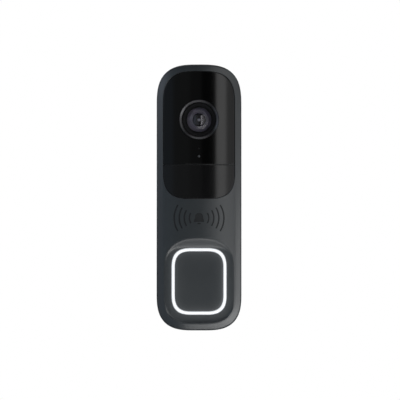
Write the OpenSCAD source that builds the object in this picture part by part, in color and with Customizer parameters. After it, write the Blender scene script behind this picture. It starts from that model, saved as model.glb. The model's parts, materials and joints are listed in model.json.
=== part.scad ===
// Wall-mounted video doorbell: slide-on wall plate, two-shell body, camera and
// motion-sensor panel, lit call button, boards, battery and loudspeaker.
// Every module is drawn lying on its back: X across, Y up the wall, Z out from
// the wall. stand() turns it upright, so the wall is the plane Y = 0 and the
// front looks along -Y.

/* [Body] */
// Width of the body across the wall
body_w = 43.8; // [36:0.2:54]
// Height of the body
body_h = 137; // [128:1:166]
// Depth from the wall to the crown of the front
body_d = 29; // [29:0.5:35]
// Size of the two upper corners
corner_top = 20.8; // [12:0.2:22]
// Size of the two lower corners
corner_bottom = 19.2; // [12:0.2:22]
// Squareness of every corner, 2 is a circle
corner_power = 2.9; // [2:0.1:4]
// Radius of the bulge across the front
front_r = 80; // [70:5:160]
// Width of the bevel around the front
edge_w = 3.3; // [2:0.1:3.3]
// Drop of the bevel for each unit of its width
edge_slope = 0.25; // [0.15:0.05:0.4]
// Width of the rounding outside the bevel
edge_round = 0.7; // [0.4:0.1:1]
// Drop of the bevel and the rounding together
edge_h = 1.6; // [1.4:0.1:2.2]
// Thickness of the shell walls
wall = 1.8; // [1.5:0.05:2.2]
// Depth of the rear shell
rear_d = 7.8; // [7.4:0.1:9.4]

/* [Window] */
// Rim left between the window and the outside of the body
window_rim = 3.4; // [3.3:0.1:4.5]
// Height of the two window panels together
window_h = 65.8; // [60:0.2:66]
// Height of the lower, motion sensor panel
pir_h = 17.8; // [15:0.2:19]
// Thickness of the window panels
panel_t = 1.4; // [1.1:0.1:1.7]
// Gap between the two panels
seam = 0.3; // [0.2:0.05:0.5]

/* [Camera] */
// From the top of the body down to the lens axis
camera_drop = 28.4; // [26:0.2:30]
// Radius of the front lens
lens_r = 6.3; // [5.2:0.1:6.8]
// Width of the bright chamfered bezel
bezel_w = 1.6; // [1.2:0.1:2]
// How far the bezel stands out of the window
bezel_proud = 0.3; // [0.1:0.1:0.6]

/* [Button] */
// Outer width of the light ring
ring_w = 28.5; // [24:0.5:29]
// Outer height of the light ring
ring_h = 34.5; // [29:0.5:35]
// Width of the light ring's band
ring_band = 1.8; // [1.4:0.1:2.2]
// From the bottom of the body up to the light ring
ring_rise = 8; // [7.4:0.2:9.6]
// Corner size of the light ring
ring_corner = 11; // [8:0.5:12]
// Gap between the light ring and the button
button_gap = 0.2; // [0.15:0.05:0.4]
// Travel of the button
button_travel = 0.5; // [0.3:0.1:0.6]
// Depth of the flat dish below the crown of the front
dish_depth = 2.1; // [1.9:0.1:2.9]

/* [Wall plate] */
// Thickness of the wall plate
plate_t = 3; // [2.4:0.1:3]
// How far the plate stays inside the body's outline
plate_inset = 1.2; // [0.8:0.1:1.6]
// Distance between the two wall screws
screw_spacing = 108; // [90:1:110]
// Radius of the wall screw holes
screw_hole_r = 2.1; // [1.7:0.1:2.6]
// Width and height of the cable opening
cable_side = 20; // [17:0.5:22]
// Lift that frees the body from the hooks
lift = 6; // [5:0.5:7]
// Width of a hook
hook_w = 6; // [5:0.5:7.5]

/* [Inside] */
// Thickness of the battery
battery_t = 8; // [7:0.2:8]
// Height of the battery
battery_h = 48; // [40:1:50]
// Thickness of the main board
board_t = 1.2; // [1:0.1:1.6]
// Radius of the motion sensor's can
pir_r = 4.2; // [3.5:0.1:4.6]

/* [Hidden] */
$fn = 64;
fit = 0.05;             // running fit, and the gap of parts that only touch
gap = 0.2;              // plain clearance between loose parts
play = 0.15;            // between a screw and a plain hole
corner_steps = 14;

// Levels out from the wall, rear to front
rear_z = plate_t + gap;             // back of the body
floor_z = rear_z + wall;            // inside of the back
split_z = rear_z + rear_d;          // joint of the two shells
hang_wall = 1.2;                    // wall left over the hook's lip
hook_lip = 1.2;
lip_z = rear_z + hang_wall + gap;   // underside of the hook's lip
pocket_z = lip_z + hook_lip + 2 * gap;
pocket_wall = 1;
tape_z = pocket_z + pocket_wall;    // foam tape under the battery
tape_t = 0.4;
battery_z = tape_z + tape_t;
board_z = split_z + 0.4;            // main board
board_top = board_z + board_t;
can_t = 2;                          // shield can on the main board
camera_z = board_top + can_t + 0.6; // camera board
camera_top = camera_z + board_t;
dish_z = body_d - dish_depth;       // flat of the dish
button_stack = 5.8;                 // dish flat down to the button board
board2_t = 1;                       // button board
board2_top = dish_z - button_stack;
board2_z = board2_top - board2_t;
seat_z = body_d - panel_t - 0.1;    // crown of the wall that carries the window
back_wall = 1.5;                    // that wall's thickness
dish_inner = dish_z - wall;         // inside of the dish's wall

// Heights up the wall
top = body_h / 2;
half = body_w / 2;
window_top = top - window_rim;
window_bottom = window_top - window_h;
seam_y = window_bottom + pir_h;
pir_y = window_bottom + (pir_h - seam) / 2;
camera_y = top - camera_drop;
light_y = camera_y - 18.9;          // light sensor below the lens
mic_y = light_y + 4;
window_corner = 14.5;               // lower corners of the window
ring_bottom = -top + ring_rise;
ring_y = ring_bottom + ring_h / 2;
mark_y = window_bottom - 9.9;       // middle of the bell mark

// Screws, by the radius of their threads and heads
shell_screw_r = 1.25;
shell_head_r = 2.3;
shell_head_t = 1.8;
shell_sink = 2.1;                   // depth of the head's seat in the back
board_screw_r = 0.85;               // in the camera board and the button board
board_head_r = 1.7;
board_head_t = 0.9;
board_post_r = 1.9;
main_screw_r = 1.1;
main_post_r = 2.4;

// Screw places
mid_y = window_bottom + 0.7;
boss_r = 2.6;                       // screw bosses in the front shell
boss_foot = 3.4;                    // and in the rear shell
boss_x = half - 5.7;
boss_y = top - 8.5;
mid_x = half - 4.1;
board_low = mid_y + 3.4;            // lower edge of the main board
board_high = boss_y - 3.2;
board_half = half - wall - 2.1;
main_x = half - 6.7;
main_low = board_low + 5.1;
main_high = board_high - 4.3;
camera_x = half - 9.5;
camera_low = mic_y - 1;
camera_high = camera_y + 14.1;
post_x = half - 9.4;
post_y = ring_bottom + ring_h + 2.55;
tail_y = -top + 4.3;                // lower screw of the button board

// Battery
battery_half = half - wall - 3.1;
battery_top = mid_y - 3;
battery_low = battery_top - battery_h;

// Wall cable opening and terminals
cable_y = board_low + 21.6;
terminal_w = 17;
terminal_h = 12;
terminal_z = rear_z + gap;
terminal_x = 4.2;
terminal_screw_r = 1.3;
terminal_head_r = 2.9;

// Tamper and reset switches and their pins
switch_x = 8;
switch_y = board_low + 6.1;
switch_t = 2;
pin_r = 1.5;
collar_r = 2.3;

// Hooks and lock
hook_x = half - 9.4;
hook_stem = 2.4;
hook_up = 3;
hook_places = [-top + 32.5, cable_y + 19];
lock_z = rear_z + 3;                // axis of the lock screw
lock_tab_y = -top + 4.7;            // top of the plate's tab, less its gap
tab_t = 2;
tab_w = 10;
tab_len = 6;
lock_r = 1.5;
insert_r = 2.1;
insert_len = 5;

// Lens stack, outwards along the axis
bezel_in = lens_r + 2.3;
bezel_out = bezel_in + bezel_w;
bezel_z = seat_z - 0.7;
lens_z = body_d - 3.8;              // edge of the front lens
lens_bulge = 2.4;
barrel_r = lens_r + 0.7;
baffle_r = bezel_in - 0.1;
barrel_foot_r = 5.8;                // narrow foot of the barrel, in its holder
core_r = 3.5;                       // bore for the inner lens
shelf_r = 5.2;                      // bore behind the front lens
holder_t = 3.9;

// Microphone and light sensor
mic_r = 0.5;                        // hole in the window
sound_r = 0.8;                      // and behind it
boot_r = 2.2;
pipe_r = 0.7;

// Motion sensor's inner lens, on the back of the lower panel
pir_bar_w = 24;
pir_bar_h = 10.8;

// Seal between the shells
seal_edge = 0.5;
seal_w = 0.8;
seal_t = 0.8;

// Dish round the button: steep at the sides and below, a long slope above
dish_side = 3.75;                   // flat beside the ring
dish_low = 3.3;                     // flat below it
dish_high = 0.3;                    // flat above it
dish_corner_low = 14.2;
dish_corner_high = 12.4;
run_side = 0.5;                     // run of each slope for a unit of rise
run_low = 0.45;
run_high = 2.2;
run_corner = 1.3;                   // growth of the upper corners

// Light ring and button
ring_foot = 1.6;                    // ring's reach behind the dish's wall
ring_flange = 1.2;
cap_edge = ring_band + button_gap;
cap_flange = 0.9;
cap_flange_t = 1.05;
cap_wall = 1.4;
cap_roof = 1.7;
cap_low = dish_inner - ring_foot - fit - cap_flange_t;
cap_post_r = 2.6;
plunger_r = 1.5;
plunger_top = board2_top + 2.2;

// Loudspeaker, in the bottom of the body
speaker_half = boss_x - boss_foot - gap;
speaker_w = 7.6;
speaker_h = 9;
speaker_y = -top + 4.3;
speaker_z = split_z - 0.4;
slot_n = 7;
slot_step = 2.4;
slot_w = 1.2;
slot_len = 6;
slot_z = speaker_z + speaker_w / 2;

// ---------- shared shapes ----------

// How far the bulged front has fallen back at x from its crown
function sag(x) = front_r - sqrt(front_r * front_r - x * x);

// One point of a superellipse corner of size r at angle a
function corner(a, r) = r * [
  pow(max(cos(a), 0), 2 / corner_power),
  pow(max(sin(a), 0), 2 / corner_power)
];

// Closed outline of half width w from y = low to y = high, with soft corners
function outline(w, low, high, r_low, r_high) =
  let (rl = min(r_low, w - 0.2), rh = min(r_high, w - 0.2), n = corner_steps)
  concat(
    [for (i = [0 : n]) let (c = corner(90 * i / n, rh))
      [w - rh + c[0], high - rh + c[1]]],
    [for (i = [n : -1 : 0]) let (c = corner(90 * i / n, rh))
      [rh - w - c[0], high - rh + c[1]]],
    [for (i = [0 : n]) let (c = corner(90 * i / n, rl))
      [rl - w - c[0], low + rl - c[1]]],
    [for (i = [n : -1 : 0]) let (c = corner(90 * i / n, rl))
      [w - rl + c[0], low + rl - c[1]]]);

// The body's outline, moved inwards by d
module face(d = 0)
  polygon(outline(half - d, d - top, top - d, corner_bottom - d, corner_top - d));

// The window's outline, moved inwards by d
module window_face(d = 0)
  polygon(outline(half - window_rim - d, window_bottom + d, window_top - d,
                  window_corner - d, corner_top - window_rim - d));

// The light ring's outer outline, moved inwards by d
module ring_face(d = 0)
  polygon(outline(ring_w / 2 - d, ring_bottom + d, ring_bottom + ring_h - d,
                  ring_corner - d, ring_corner - d));

// A plate of a flat shape from level a to level b
module slab(a, b) translate([0, 0, a]) linear_extrude(b - a) children();

// A box of width w about x, from y0 to y1 and z0 to z1
module block(x, w, y0, y1, z0, z1)
  translate([x - w / 2, y0, z0]) cube([w, y1 - y0, z1 - z0]);

// A disc or rod of radius r about (x, y), from level a to level b
module rod(x, y, r, a, b) translate([x, y, a]) cylinder(r = r, h = b - a);

// Everything behind a bulged front whose crown is at level z
module bulge(z)
  translate([0, 0, z - front_r]) rotate([90, 0, 0])
    cylinder(r = front_r, h = 2 * body_h, center = true);

// Puts its children at all four corners of x, y_low and y_high
module at_four(x, y_low, y_high)
  for (side = [-1, 1], y = [y_low, y_high]) translate([side * x, y, 0])
    children();

// The six places where screws join the two shells
module at_shell_screws() {
  at_four(boss_x, -boss_y, boss_y) children();
  for (side = [-1, 1]) translate([side * mid_x, mid_y, 0]) children();
}

// The three places where screws hold the button board
module at_button_posts() {
  for (side = [-1, 1]) translate([side * post_x, post_y, 0]) children();
  translate([0, tail_y, 0]) children();
}

// The four infra-red emitters round the lens
module at_emitters()
  for (a = [45 : 90 : 315])
    translate([0, camera_y, 0]) rotate(a) translate([bezel_out + 3.6, 0, 0])
      children();

// Pan-head screw with its head's underside at level a, pointing along dir
module screw(head_r, head_t, r, len, a, dir = 1)
  translate([0, 0, a]) mirror([0, 0, dir > 0 ? 0 : 1]) difference() {
    union() {
      translate([0, 0, -head_t]) cylinder(r = head_r, h = head_t);
      cylinder(r = r, h = len);
    }
    for (turn = [0, 90]) rotate(turn)
      translate([-head_r * 0.6, -0.2, -head_t - 1])
        cube([head_r * 1.2, 0.4, 1 + head_t * 0.45]);
  }

// Turns a part that lies on its back upright against the wall
module stand() rotate([90, 0, 0]) children();

// ---------- wall side ----------

module hook(x, y) {
  block(x, hook_w, y, y + hook_stem, plate_t - 0.5, lip_z + hook_lip);
  block(x, hook_w, y, y + hook_stem + hook_up, lip_z, lip_z + hook_lip);
}

module wall_plate() {
  color("dimgray") stand() difference() {
    union() {
      slab(0, plate_t) face(plate_inset);
      for (side = [-1, 1], y = hook_places) hook(side * hook_x, y);
      block(0, tab_w, lock_tab_y - tab_t - gap, lock_tab_y - gap,
            plate_t - 0.5, plate_t + tab_len);
      block(0, tab_w, lock_tab_y - tab_t - gap, lock_tab_y + 2,
            plate_t - 1.2, plate_t);
    }
    for (side = [-1, 1]) {
      rod(0, side * screw_spacing / 2, screw_hole_r, -1, plate_t + 1);
      translate([0, side * screw_spacing / 2, plate_t - 1.4])
        cylinder(r1 = screw_hole_r, r2 = screw_hole_r + 1.45, h = 1.45);
    }
    block(0, cable_side, cable_y - cable_side / 2, cable_y + cable_side / 2,
          -1, plate_t + 1);
    for (side = [-1, 1], y = [-24, 0, 24 + cable_side])
      block(side * (half - 7), 3, y - 6, y + 6, -1, 1.2);
    translate([0, lock_tab_y - tab_t - gap - 1, lock_z]) rotate([-90, 0, 0])
      cylinder(r = lock_r + play, h = tab_t + 2);
  }
}

module lock_screw() {
  color("silver") stand() translate([0, lock_tab_y - tab_t - gap, lock_z])
    rotate([-90, 0, 0]) difference() {
      union() {
        translate([0, 0, -1.6]) cylinder(r = 2.5, h = 1.6);
        cylinder(r = lock_r, h = tab_t + gap + 4.7);
      }
      translate([0, 0, -2]) cylinder(r = 1.1, h = 1.2, $fn = 6);
    }
}

// ---------- shells ----------

// Inset and drop of the front's edge: a rounding, then a straight bevel
function edge_steps(n = 4) =
  [for (i = [0 : n])
     let (a = 90 * i / n, d = edge_round * (1 - cos(a)))
       [d, edge_slope * (edge_w - d)
           + (edge_h - edge_slope * edge_w) * (1 - sin(a))],
   [edge_w, 0]];

// The front's solid: the body's outline under the bulge, with a beveled edge
module front_solid() {
  hull() for (step = edge_steps()) {
    d = step[0];
    crown = body_d - step[1];
    w = half - d;
    intersection() {
      slab(split_z, body_d + 1) face(d);
      translate([0, body_h, 0]) rotate([90, 0, 0]) linear_extrude(2 * body_h)
        polygon(concat([[-w, split_z], [w, split_z]],
          [for (k = [8 : -1 : -8]) [w * k / 8, crown - sag(w * k / 8)]]));
    }
  }
}

// Sloped cutter for the dish round the button
module dish_cutter() {
  w = ring_w / 2 + dish_side;
  low = ring_bottom - dish_low;
  high = ring_bottom + ring_h + dish_high;
  hull() for (h = [0, dish_depth + 1]) {
    slab(dish_z + h, dish_z + h + 0.01)
      polygon(outline(w + run_side * h, low - run_low * h, high + run_high * h,
                      dish_corner_low + run_low * h,
                      dish_corner_high + run_corner * h));
  }
}

// Space inside the front shell
module front_cavity() {
  intersection() {
    slab(split_z - 1, body_d) face(wall);
    bulge(seat_z - back_wall);
    block(0, body_w, mid_y - 3.2, top, split_z - 1, body_d);
  }
  intersection() {
    slab(split_z - 1, dish_inner) face(wall);
    bulge(body_d - wall - 0.4);
    block(0, body_w, -top, mid_y, split_z - 1, dish_inner);
  }
}

module sound_slots()
  for (i = [0 : slot_n - 1]) {
    x = (i - (slot_n - 1) / 2) * slot_step;
    block(x, slot_w, -top - 1, -top + wall + 2,
          slot_z - slot_len / 2, slot_z + slot_len / 2);
  }

module front_housing() {
  color("darkslategray") stand() difference() {
    union() {
      difference() {
        front_solid();
        front_cavity();
        dish_cutter();
      }
      intersection() {
        union() {
          at_shell_screws() cylinder(r = boss_r, h = seat_z - 1);
          at_four(camera_x, camera_low, camera_high)
            translate([0, 0, camera_top]) cylinder(r = board_post_r, h = 9.4);
          at_button_posts() translate([0, 0, board2_top])
            cylinder(r = board_post_r, h = dish_inner - board2_top + 0.5);
        }
        slab(split_z, dish_z - 0.4) face(wall / 2);
        bulge(seat_z - 0.4);
      }
    }
    difference() {
      slab(seat_z - 8, body_d + 1) window_face();
      bulge(seat_z);
    }
    rod(0, camera_y, bezel_out + 0.05, bezel_z, body_d);
    rod(0, camera_y, bezel_in - 0.05, camera_top + 2, body_d);
    rod(0, mic_y, sound_r, seat_z - 4, body_d);
    rod(0, light_y, pipe_r + 0.1, seat_z - 4, body_d);
    at_emitters() rod(0, 0, 2, seat_z - 6, body_d);
    block(0, pir_bar_w + 2, pir_y - pir_bar_h / 2 - 1,
          pir_y + pir_bar_h / 2 + 1, seat_z - 6, body_d);
    slab(dish_inner - 1, dish_z + 1) ring_face(-0.08);
    slab(dish_inner - 1, dish_inner) ring_face(-ring_flange - 0.3);
    difference() {
      slab(body_d - 0.3, body_d + 1) bell_shape(0.04);
      bulge(body_d - 0.3);
    }
    difference() {
      slab(body_d - 3, body_d + 1) bell_shape(0.04);
      bulge(body_d - 0.3);
    }
    sound_slots();
    slab(split_z - 1, split_z + seal_t) difference() {
      face(seal_edge);
      face(seal_edge + seal_w);
    }
    at_shell_screws() translate([0, 0, split_z - 1])
      cylinder(r = shell_screw_r + fit, h = 8.5);
    at_four(camera_x, camera_low, camera_high)
      translate([0, 0, camera_top - 1])
        cylinder(r = board_screw_r + fit, h = 7);
    at_button_posts() translate([0, 0, board2_top - 1])
      cylinder(r = board_screw_r + fit, h = 4.4);
  }
}

// Slot and pocket for one hook; the pocket also takes the lift
module hook_space(x, y) {
  block(x, hook_w + 3 * gap, y - lift - 1.5 * gap, y + hook_stem + gap,
        rear_z - 1, pocket_z);
  block(x, hook_w + 3 * gap, y - lift - 1.5 * gap,
        y + hook_stem + hook_up + 2 * gap, lip_z - gap, pocket_z);
}

module rear_housing() {
  color("darkslategray") stand() difference() {
    union() {
      difference() {
        hull() {
          slab(rear_z, rear_z + 0.01) face(1.6);
          slab(rear_z + 0.6, rear_z + 0.61) face(0.5);
          slab(rear_z + 1.8, split_z) face();
        }
        slab(floor_z, split_z + 1) face(wall);
      }
      intersection() {
        at_shell_screws() translate([0, 0, rear_z])
          cylinder(r = boss_foot, h = rear_d);
        slab(rear_z, split_z) face(wall / 2);
      }
      at_four(main_x, main_low, main_high) translate([0, 0, floor_z - 0.5])
        cylinder(r = main_post_r, h = board_z - floor_z + 0.5);
      for (side = [-1, 1], y = hook_places)
        block(side * hook_x, hook_w + 3 * gap + 2 * pocket_wall,
              y - lift - 1.5 * gap - pocket_wall,
              y + hook_stem + hook_up + 2 * gap + pocket_wall,
              floor_z - 0.5, tape_z);
      for (k = [0 : 3])
        block(0, 2 * battery_half - 6, battery_low + 3 + k * 13,
              battery_low + 4.5 + k * 13, floor_z - 0.5, tape_z);
      block(0, 2 * insert_r + 2.6, lock_tab_y - 1,
            lock_tab_y + insert_len + 1.4, rear_z + 1,
            lock_z + insert_r + 1.2);
    }
    for (side = [-1, 1], y = hook_places) hook_space(side * hook_x, y);
    block(0, tab_w + 1, -top - 1, lock_tab_y, rear_z - 1,
          plate_t + tab_len + 0.6);
    translate([0, lock_tab_y - 1, lock_z]) rotate([-90, 0, 0])
      cylinder(r = insert_r, h = insert_len + 1);
    at_shell_screws() {
      translate([0, 0, rear_z - 1])
        cylinder(r = shell_head_r + gap, h = shell_sink + 1);
      translate([0, 0, rear_z])
        cylinder(r = shell_screw_r + play, h = rear_d + 1);
    }
    at_four(main_x, main_low, main_high) translate([0, 0, floor_z + 1])
      cylinder(r = main_screw_r + fit, h = board_z);
    block(0, terminal_w + 2 * gap, cable_y - terminal_h / 2 - gap,
          cable_y + terminal_h / 2 + gap, rear_z - 1, floor_z + 1);
    for (side = [-1, 1])
      rod(side * switch_x, switch_y, pin_r + fit, rear_z - 1, floor_z + 1);
  }
}

module housing_seal() {
  color("black") stand() slab(split_z, split_z + seal_t) difference() {
    face(seal_edge + fit);
    face(seal_edge + seal_w - fit);
  }
}

module housing_screws()
  color("silver") stand() at_shell_screws()
    screw(shell_head_r, shell_head_t, shell_screw_r, 12, rear_z + shell_sink);

// ---------- window ----------

// Both panels: the window's outline between two bulged faces
module panel(thick, crown) intersection() {
  slab(seat_z - 8, body_d + 1) window_face(0.1);
  difference() {
    bulge(crown);
    bulge(crown - thick);
  }
}

module camera_window() {
  color("black") stand() difference() {
    intersection() {
      panel(panel_t, body_d);
      block(0, body_w, seam_y, top, 0, body_d + 1);
    }
    rod(0, camera_y, bezel_out + 0.1, 0, body_d + 1);
    rod(0, mic_y, mic_r, 0, body_d + 1);
    rod(0, light_y, pipe_r + fit, 0, body_d + 1);
  }
}

module pir_lens() {
  color([0.07, 0.07, 0.08]) stand() difference() {
    intersection() {
      panel(panel_t, body_d);
      block(0, body_w, -top, seam_y - seam, 0, body_d + 1);
    }
    intersection() {
      block(0, pir_bar_w, pir_y - pir_bar_h / 2, pir_y + pir_bar_h / 2,
            seat_z - 6, body_d);
      bulge(body_d - panel_t / 2);
    }
  }
}

// Half ring of radius r and line width t that opens away from the bell
module wave(r, t) intersection() {
  difference() {
    circle(r = r + t / 2);
    circle(r = r - t / 2);
  }
  polygon([[0, 0], [2 * r, -r * 0.62], [2 * r, r * 0.62]]);
}

// Generic bell with sound waves on both sides, grown by g
module bell_shape(g = 0) {
  line = 0.7 + 2 * g;
  translate([0, mark_y]) {
    intersection() {
      union() {
        translate([0, 0.7]) circle(r = 2.0 + g);
        polygon([[-2.7 - g, -2.0 - g], [2.7 + g, -2.0 - g],
                 [2.0 + g, 0.7], [-2.0 - g, 0.7]]);
      }
      translate([-3, -2 - g]) square([6, 5.4 + 2 * g]);
    }
    translate([0, -2.3]) intersection() {
      circle(r = 0.95 + g);
      translate([-2, -2]) square([4, 2 - 0.25 + g]);
    }
    for (side = [0, 1], r = [5, 7.6, 10.2, 12.8]) mirror([side, 0])
      wave(r, line);
  }
}

module bell_mark() {
  color([0.09, 0.1, 0.11]) stand() intersection() {
    slab(body_d - 4, body_d + 1) bell_shape();
    difference() {
      bulge(body_d - 0.05);
      bulge(body_d - 0.3);
    }
  }
}

// ---------- camera ----------

// A solid of revolution about the lens axis
module turned(points)
  stand() translate([0, camera_y, 0]) rotate_extrude() polygon(points);

module lens_bezel()
  color([0.13, 0.13, 0.14]) turned([
    [bezel_in, bezel_z], [bezel_out, bezel_z],
    [bezel_out, body_d + bezel_proud - 0.35],
    [bezel_out - 0.35, body_d + bezel_proud],
    [bezel_in + 0.45, body_d + bezel_proud - 0.25],
    [bezel_in, body_d - 0.75]]);

module lens_baffle() {
  in = barrel_r + 0.1;
  ledge = lens_z + 0.9;
  step = 0.5;
  color([0.05, 0.05, 0.05]) turned([
    [in, lens_z - 0.3], [bezel_in - 0.15, lens_z - 0.3],
    [bezel_in - 0.15, body_d - 1],
    [in + 0.85, body_d - 1], [in + 0.85, ledge + 3 * step],
    [in + 0.45, ledge + 3 * step], [in + 0.45, ledge + 2 * step],
    [in, ledge + 2 * step], [in, ledge + step],
    [lens_r + 0.2, ledge + step], [lens_r + 0.2, ledge], [in, ledge]]);
}

module front_lens() {
  ball = (lens_r * lens_r + lens_bulge * lens_bulge) / (2 * lens_bulge);
  color([0.25, 0.22, 0.3, 0.8]) stand() translate([0, camera_y, 0])
    intersection() {
      translate([0, 0, lens_z + lens_bulge - ball]) sphere(r = ball);
      rod(0, 0, lens_r, lens_z - 0.6, body_d);
    }
}

module lens_barrel()
  color([0.1, 0.1, 0.1]) turned([
    [core_r, camera_top + 1.6], [barrel_foot_r, camera_top + 1.6],
    [barrel_foot_r, camera_top + holder_t + 0.1],
    [barrel_r, camera_top + holder_t + 0.1],
    [barrel_r, lens_z + 0.8], [lens_r + fit, lens_z + 0.8],
    [lens_r + fit, lens_z - 0.65], [shelf_r, lens_z - 0.65],
    [shelf_r, lens_z - 2.2], [core_r, lens_z - 2.2]]);

module inner_lens() {
  r = core_r - fit;
  ball = 7;
  low = camera_top + 2.6;
  color([0.5, 0.5, 0.6, 0.6]) stand() translate([0, camera_y, low])
    intersection() {
      translate([0, 0, ball]) sphere(r = ball);
      translate([0, 0, 3.4 - ball]) sphere(r = ball);
      cylinder(r = r, h = 4);
    }
}

module lens_seal()
  color("black") turned([
    [barrel_r + fit, lens_z - 2.2], [baffle_r, lens_z - 2.2],
    [baffle_r, lens_z - 0.35], [barrel_r + fit, lens_z - 0.35]]);

module lens_holder() {
  side = 14.4;
  color([0.1, 0.1, 0.1]) stand() difference() {
    block(0, side, camera_y - side / 2, camera_y + side / 2,
          camera_top, camera_top + holder_t);
    rod(0, camera_y, barrel_foot_r + fit, camera_top + 1.2,
        camera_top + holder_t + 1);
    block(0, 9, camera_y - 4.5, camera_y + 4.5, camera_top - 1,
          camera_top + 1.3);
  }
}

module ir_filter()
  color([0.6, 0.3, 0.3, 0.6]) stand()
    rod(0, camera_y, 4.2, camera_top + 1.25, camera_top + 1.55);

module image_sensor()
  color([0.2, 0.25, 0.3]) stand()
    block(0, 7.2, camera_y - 3, camera_y + 3, camera_top, camera_top + 0.9);

module camera_board() {
  color("darkgreen") stand() difference() {
    block(0, 2 * camera_x + 4.2, light_y - 2.2, camera_high + 2.1,
          camera_z, camera_top);
    at_four(camera_x, camera_low, camera_high)
      rod(0, 0, board_screw_r + play, camera_z - 1, camera_top + 1);
  }
}

module camera_screws()
  color("silver") stand() at_four(camera_x, camera_low, camera_high)
    screw(board_head_r, board_head_t, board_screw_r, 6, camera_z);

module ir_emitters()
  color([0.2, 0.1, 0.15]) stand() at_emitters() translate([0, 0, camera_top]) {
    translate([-1.4, -1.4, 0]) cube([2.8, 2.8, 1]);
    translate([0, 0, 1]) cylinder(r = 1.2, h = 0.6);
  }

module light_sensor()
  color([0.15, 0.15, 0.15]) stand()
    block(0, 2, light_y - 1, light_y + 1, camera_top, camera_top + 0.9);

module light_pipe()
  color([0.55, 0.56, 0.58]) stand()
    rod(0, light_y, pipe_r, camera_top + 1, body_d - 0.1);

module microphone()
  color("silver") stand() rod(0, mic_y, 2, camera_top, camera_top + 1.6);

module microphone_boot() {
  tip = seat_z - back_wall - sag(boot_r) - fit;
  color([0.1, 0.1, 0.1]) stand() difference() {
    rod(0, mic_y, boot_r, camera_top + 1.6, tip);
    rod(0, mic_y, sound_r, camera_top, tip + 1);
  }
}

// ---------- motion sensor ----------

module pir_sensor()
  color("silver") stand() difference() {
    union() {
      rod(0, pir_y, pir_r, board_top, board_top + 4.4);
      rod(0, pir_y, pir_r + 0.35, board_top, board_top + 0.5);
    }
    block(0, 3.2, pir_y - 1.6, pir_y + 1.6, board_top + 4.2, board_top + 6);
  }

// ---------- call button ----------

module light_ring() {
  bottom = dish_inner - ring_foot;
  color("white") stand() difference() {
    union() {
      slab(bottom, dish_z) ring_face();
      slab(bottom, dish_inner - fit) ring_face(-ring_flange);
    }
    slab(bottom - 1, dish_z + 1) ring_face(ring_band);
  }
}

module ring_leds()
  color("gold") stand() {
    for (side = [-1, 1], k = [-1.5 : 1.5])
      translate([side * (ring_w / 2 + 0.1), ring_y + k * 6, board2_top + 0.4])
        cube([1, 1.6, 0.8], center = true);
    for (side = [-1, 1], k = [-1 : 1])
      translate([k * 5, ring_y + side * (ring_h / 2 + 0.1), board2_top + 0.4])
        cube([1.6, 1, 0.8], center = true);
  }

module button_board() {
  color("darkgreen") stand() difference() {
    slab(board2_z, board2_top) union() {
      polygon(outline(ring_w / 2 + 1.9, ring_bottom - 1.9,
                      ring_bottom + ring_h + 5, ring_corner + 1.9, 9));
      translate([-3, tail_y - 2]) square([6, 8]);
    }
    at_button_posts()
      rod(0, 0, board_screw_r + play, board2_z - 1, board2_top + 1);
    at_shell_screws() rod(0, 0, boss_r + gap, board2_z - 1, board2_top + 1);
  }
}

module button_board_screws()
  color("silver") stand() at_button_posts()
    screw(board_head_r, board_head_t, board_screw_r, 4, board2_z);

module button_switch() {
  side = 6;
  color([0.12, 0.12, 0.12]) stand() difference() {
    block(0, side, ring_y - side / 2, ring_y + side / 2, board2_top,
          board2_top + 1.6);
    rod(0, ring_y, plunger_r + fit, board2_top + 0.5, board2_top + 2);
  }
}

module switch_plunger()
  color("gold") stand()
    rod(0, ring_y, plunger_r, board2_top + 0.6 + button_travel, plunger_top);

// Two ribs that stiffen the button's roof; the post stands where they cross
module cap_ribs() difference() {
  low = dish_z - cap_roof - 1.1;
  high = dish_z - cap_roof + 0.5;
  union() {
    block(0, ring_w - 2 * cap_edge - 2, ring_y - 0.5, ring_y + 0.5, low, high);
    block(0, 1, ring_y - ring_h / 2 + cap_edge + 1,
          ring_y + ring_h / 2 - cap_edge - 1, low, high);
  }
  rod(0, ring_y, cap_post_r - 0.1, low - 1, dish_z - cap_roof - 0.1);
}

module button_cap()
  color("darkslategray") stand() {
    difference() {
      union() {
        slab(cap_low, dish_z) ring_face(cap_edge);
        slab(cap_low, cap_low + cap_flange_t) ring_face(cap_edge - cap_flange);
      }
      slab(cap_low - 1, dish_z - cap_roof) ring_face(cap_edge + cap_wall);
    }
    rod(0, ring_y, cap_post_r, plunger_top + fit, dish_z - cap_roof + 0.5);
    cap_ribs();
  }

module button_pad()
  color([0.2, 0.2, 0.2]) stand() slab(board2_top, cap_low - fit)
    difference() {
      ring_face(cap_edge);
      ring_face(cap_edge + cap_wall);
    }

// ---------- boards ----------

module main_board() {
  color("darkgreen") stand() difference() {
    block(0, 2 * board_half, board_low, board_high, board_z, board_top);
    at_four(main_x, main_low, main_high)
      rod(0, 0, main_screw_r + play, board_z - 1, board_top + 1);
  }
}

module main_board_screws()
  color("silver") stand() at_four(main_x, main_low, main_high)
    screw(1.9, 1.2, main_screw_r, 5.4, board_top, -1);

module shield_can()
  color("silver") stand()
    block(0, 19, camera_low - 0.4, camera_high - 2.4, board_top,
          board_top + can_t);

module board_chips()
  color([0.12, 0.12, 0.13]) stand() {
    block(-9, 7, cable_y + 12, cable_y + 19, board_z - 1.1, board_z);
    block(8, 8, cable_y + 11, cable_y + 19, board_z - 1.3, board_z);
    block(0, 5, cable_y + 21, cable_y + 25, board_z - 0.9, board_z);
    block(-13, 4, cable_y - 6, cable_y - 1, board_z - 2.4, board_z);
    block(13, 4, cable_y - 2, cable_y + 3, board_z - 1.6, board_z);
  }

module camera_connector()
  color("ivory") stand()
    block(0, 12, light_y - 1.6, light_y + 1.4, board_top, camera_z);

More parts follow.
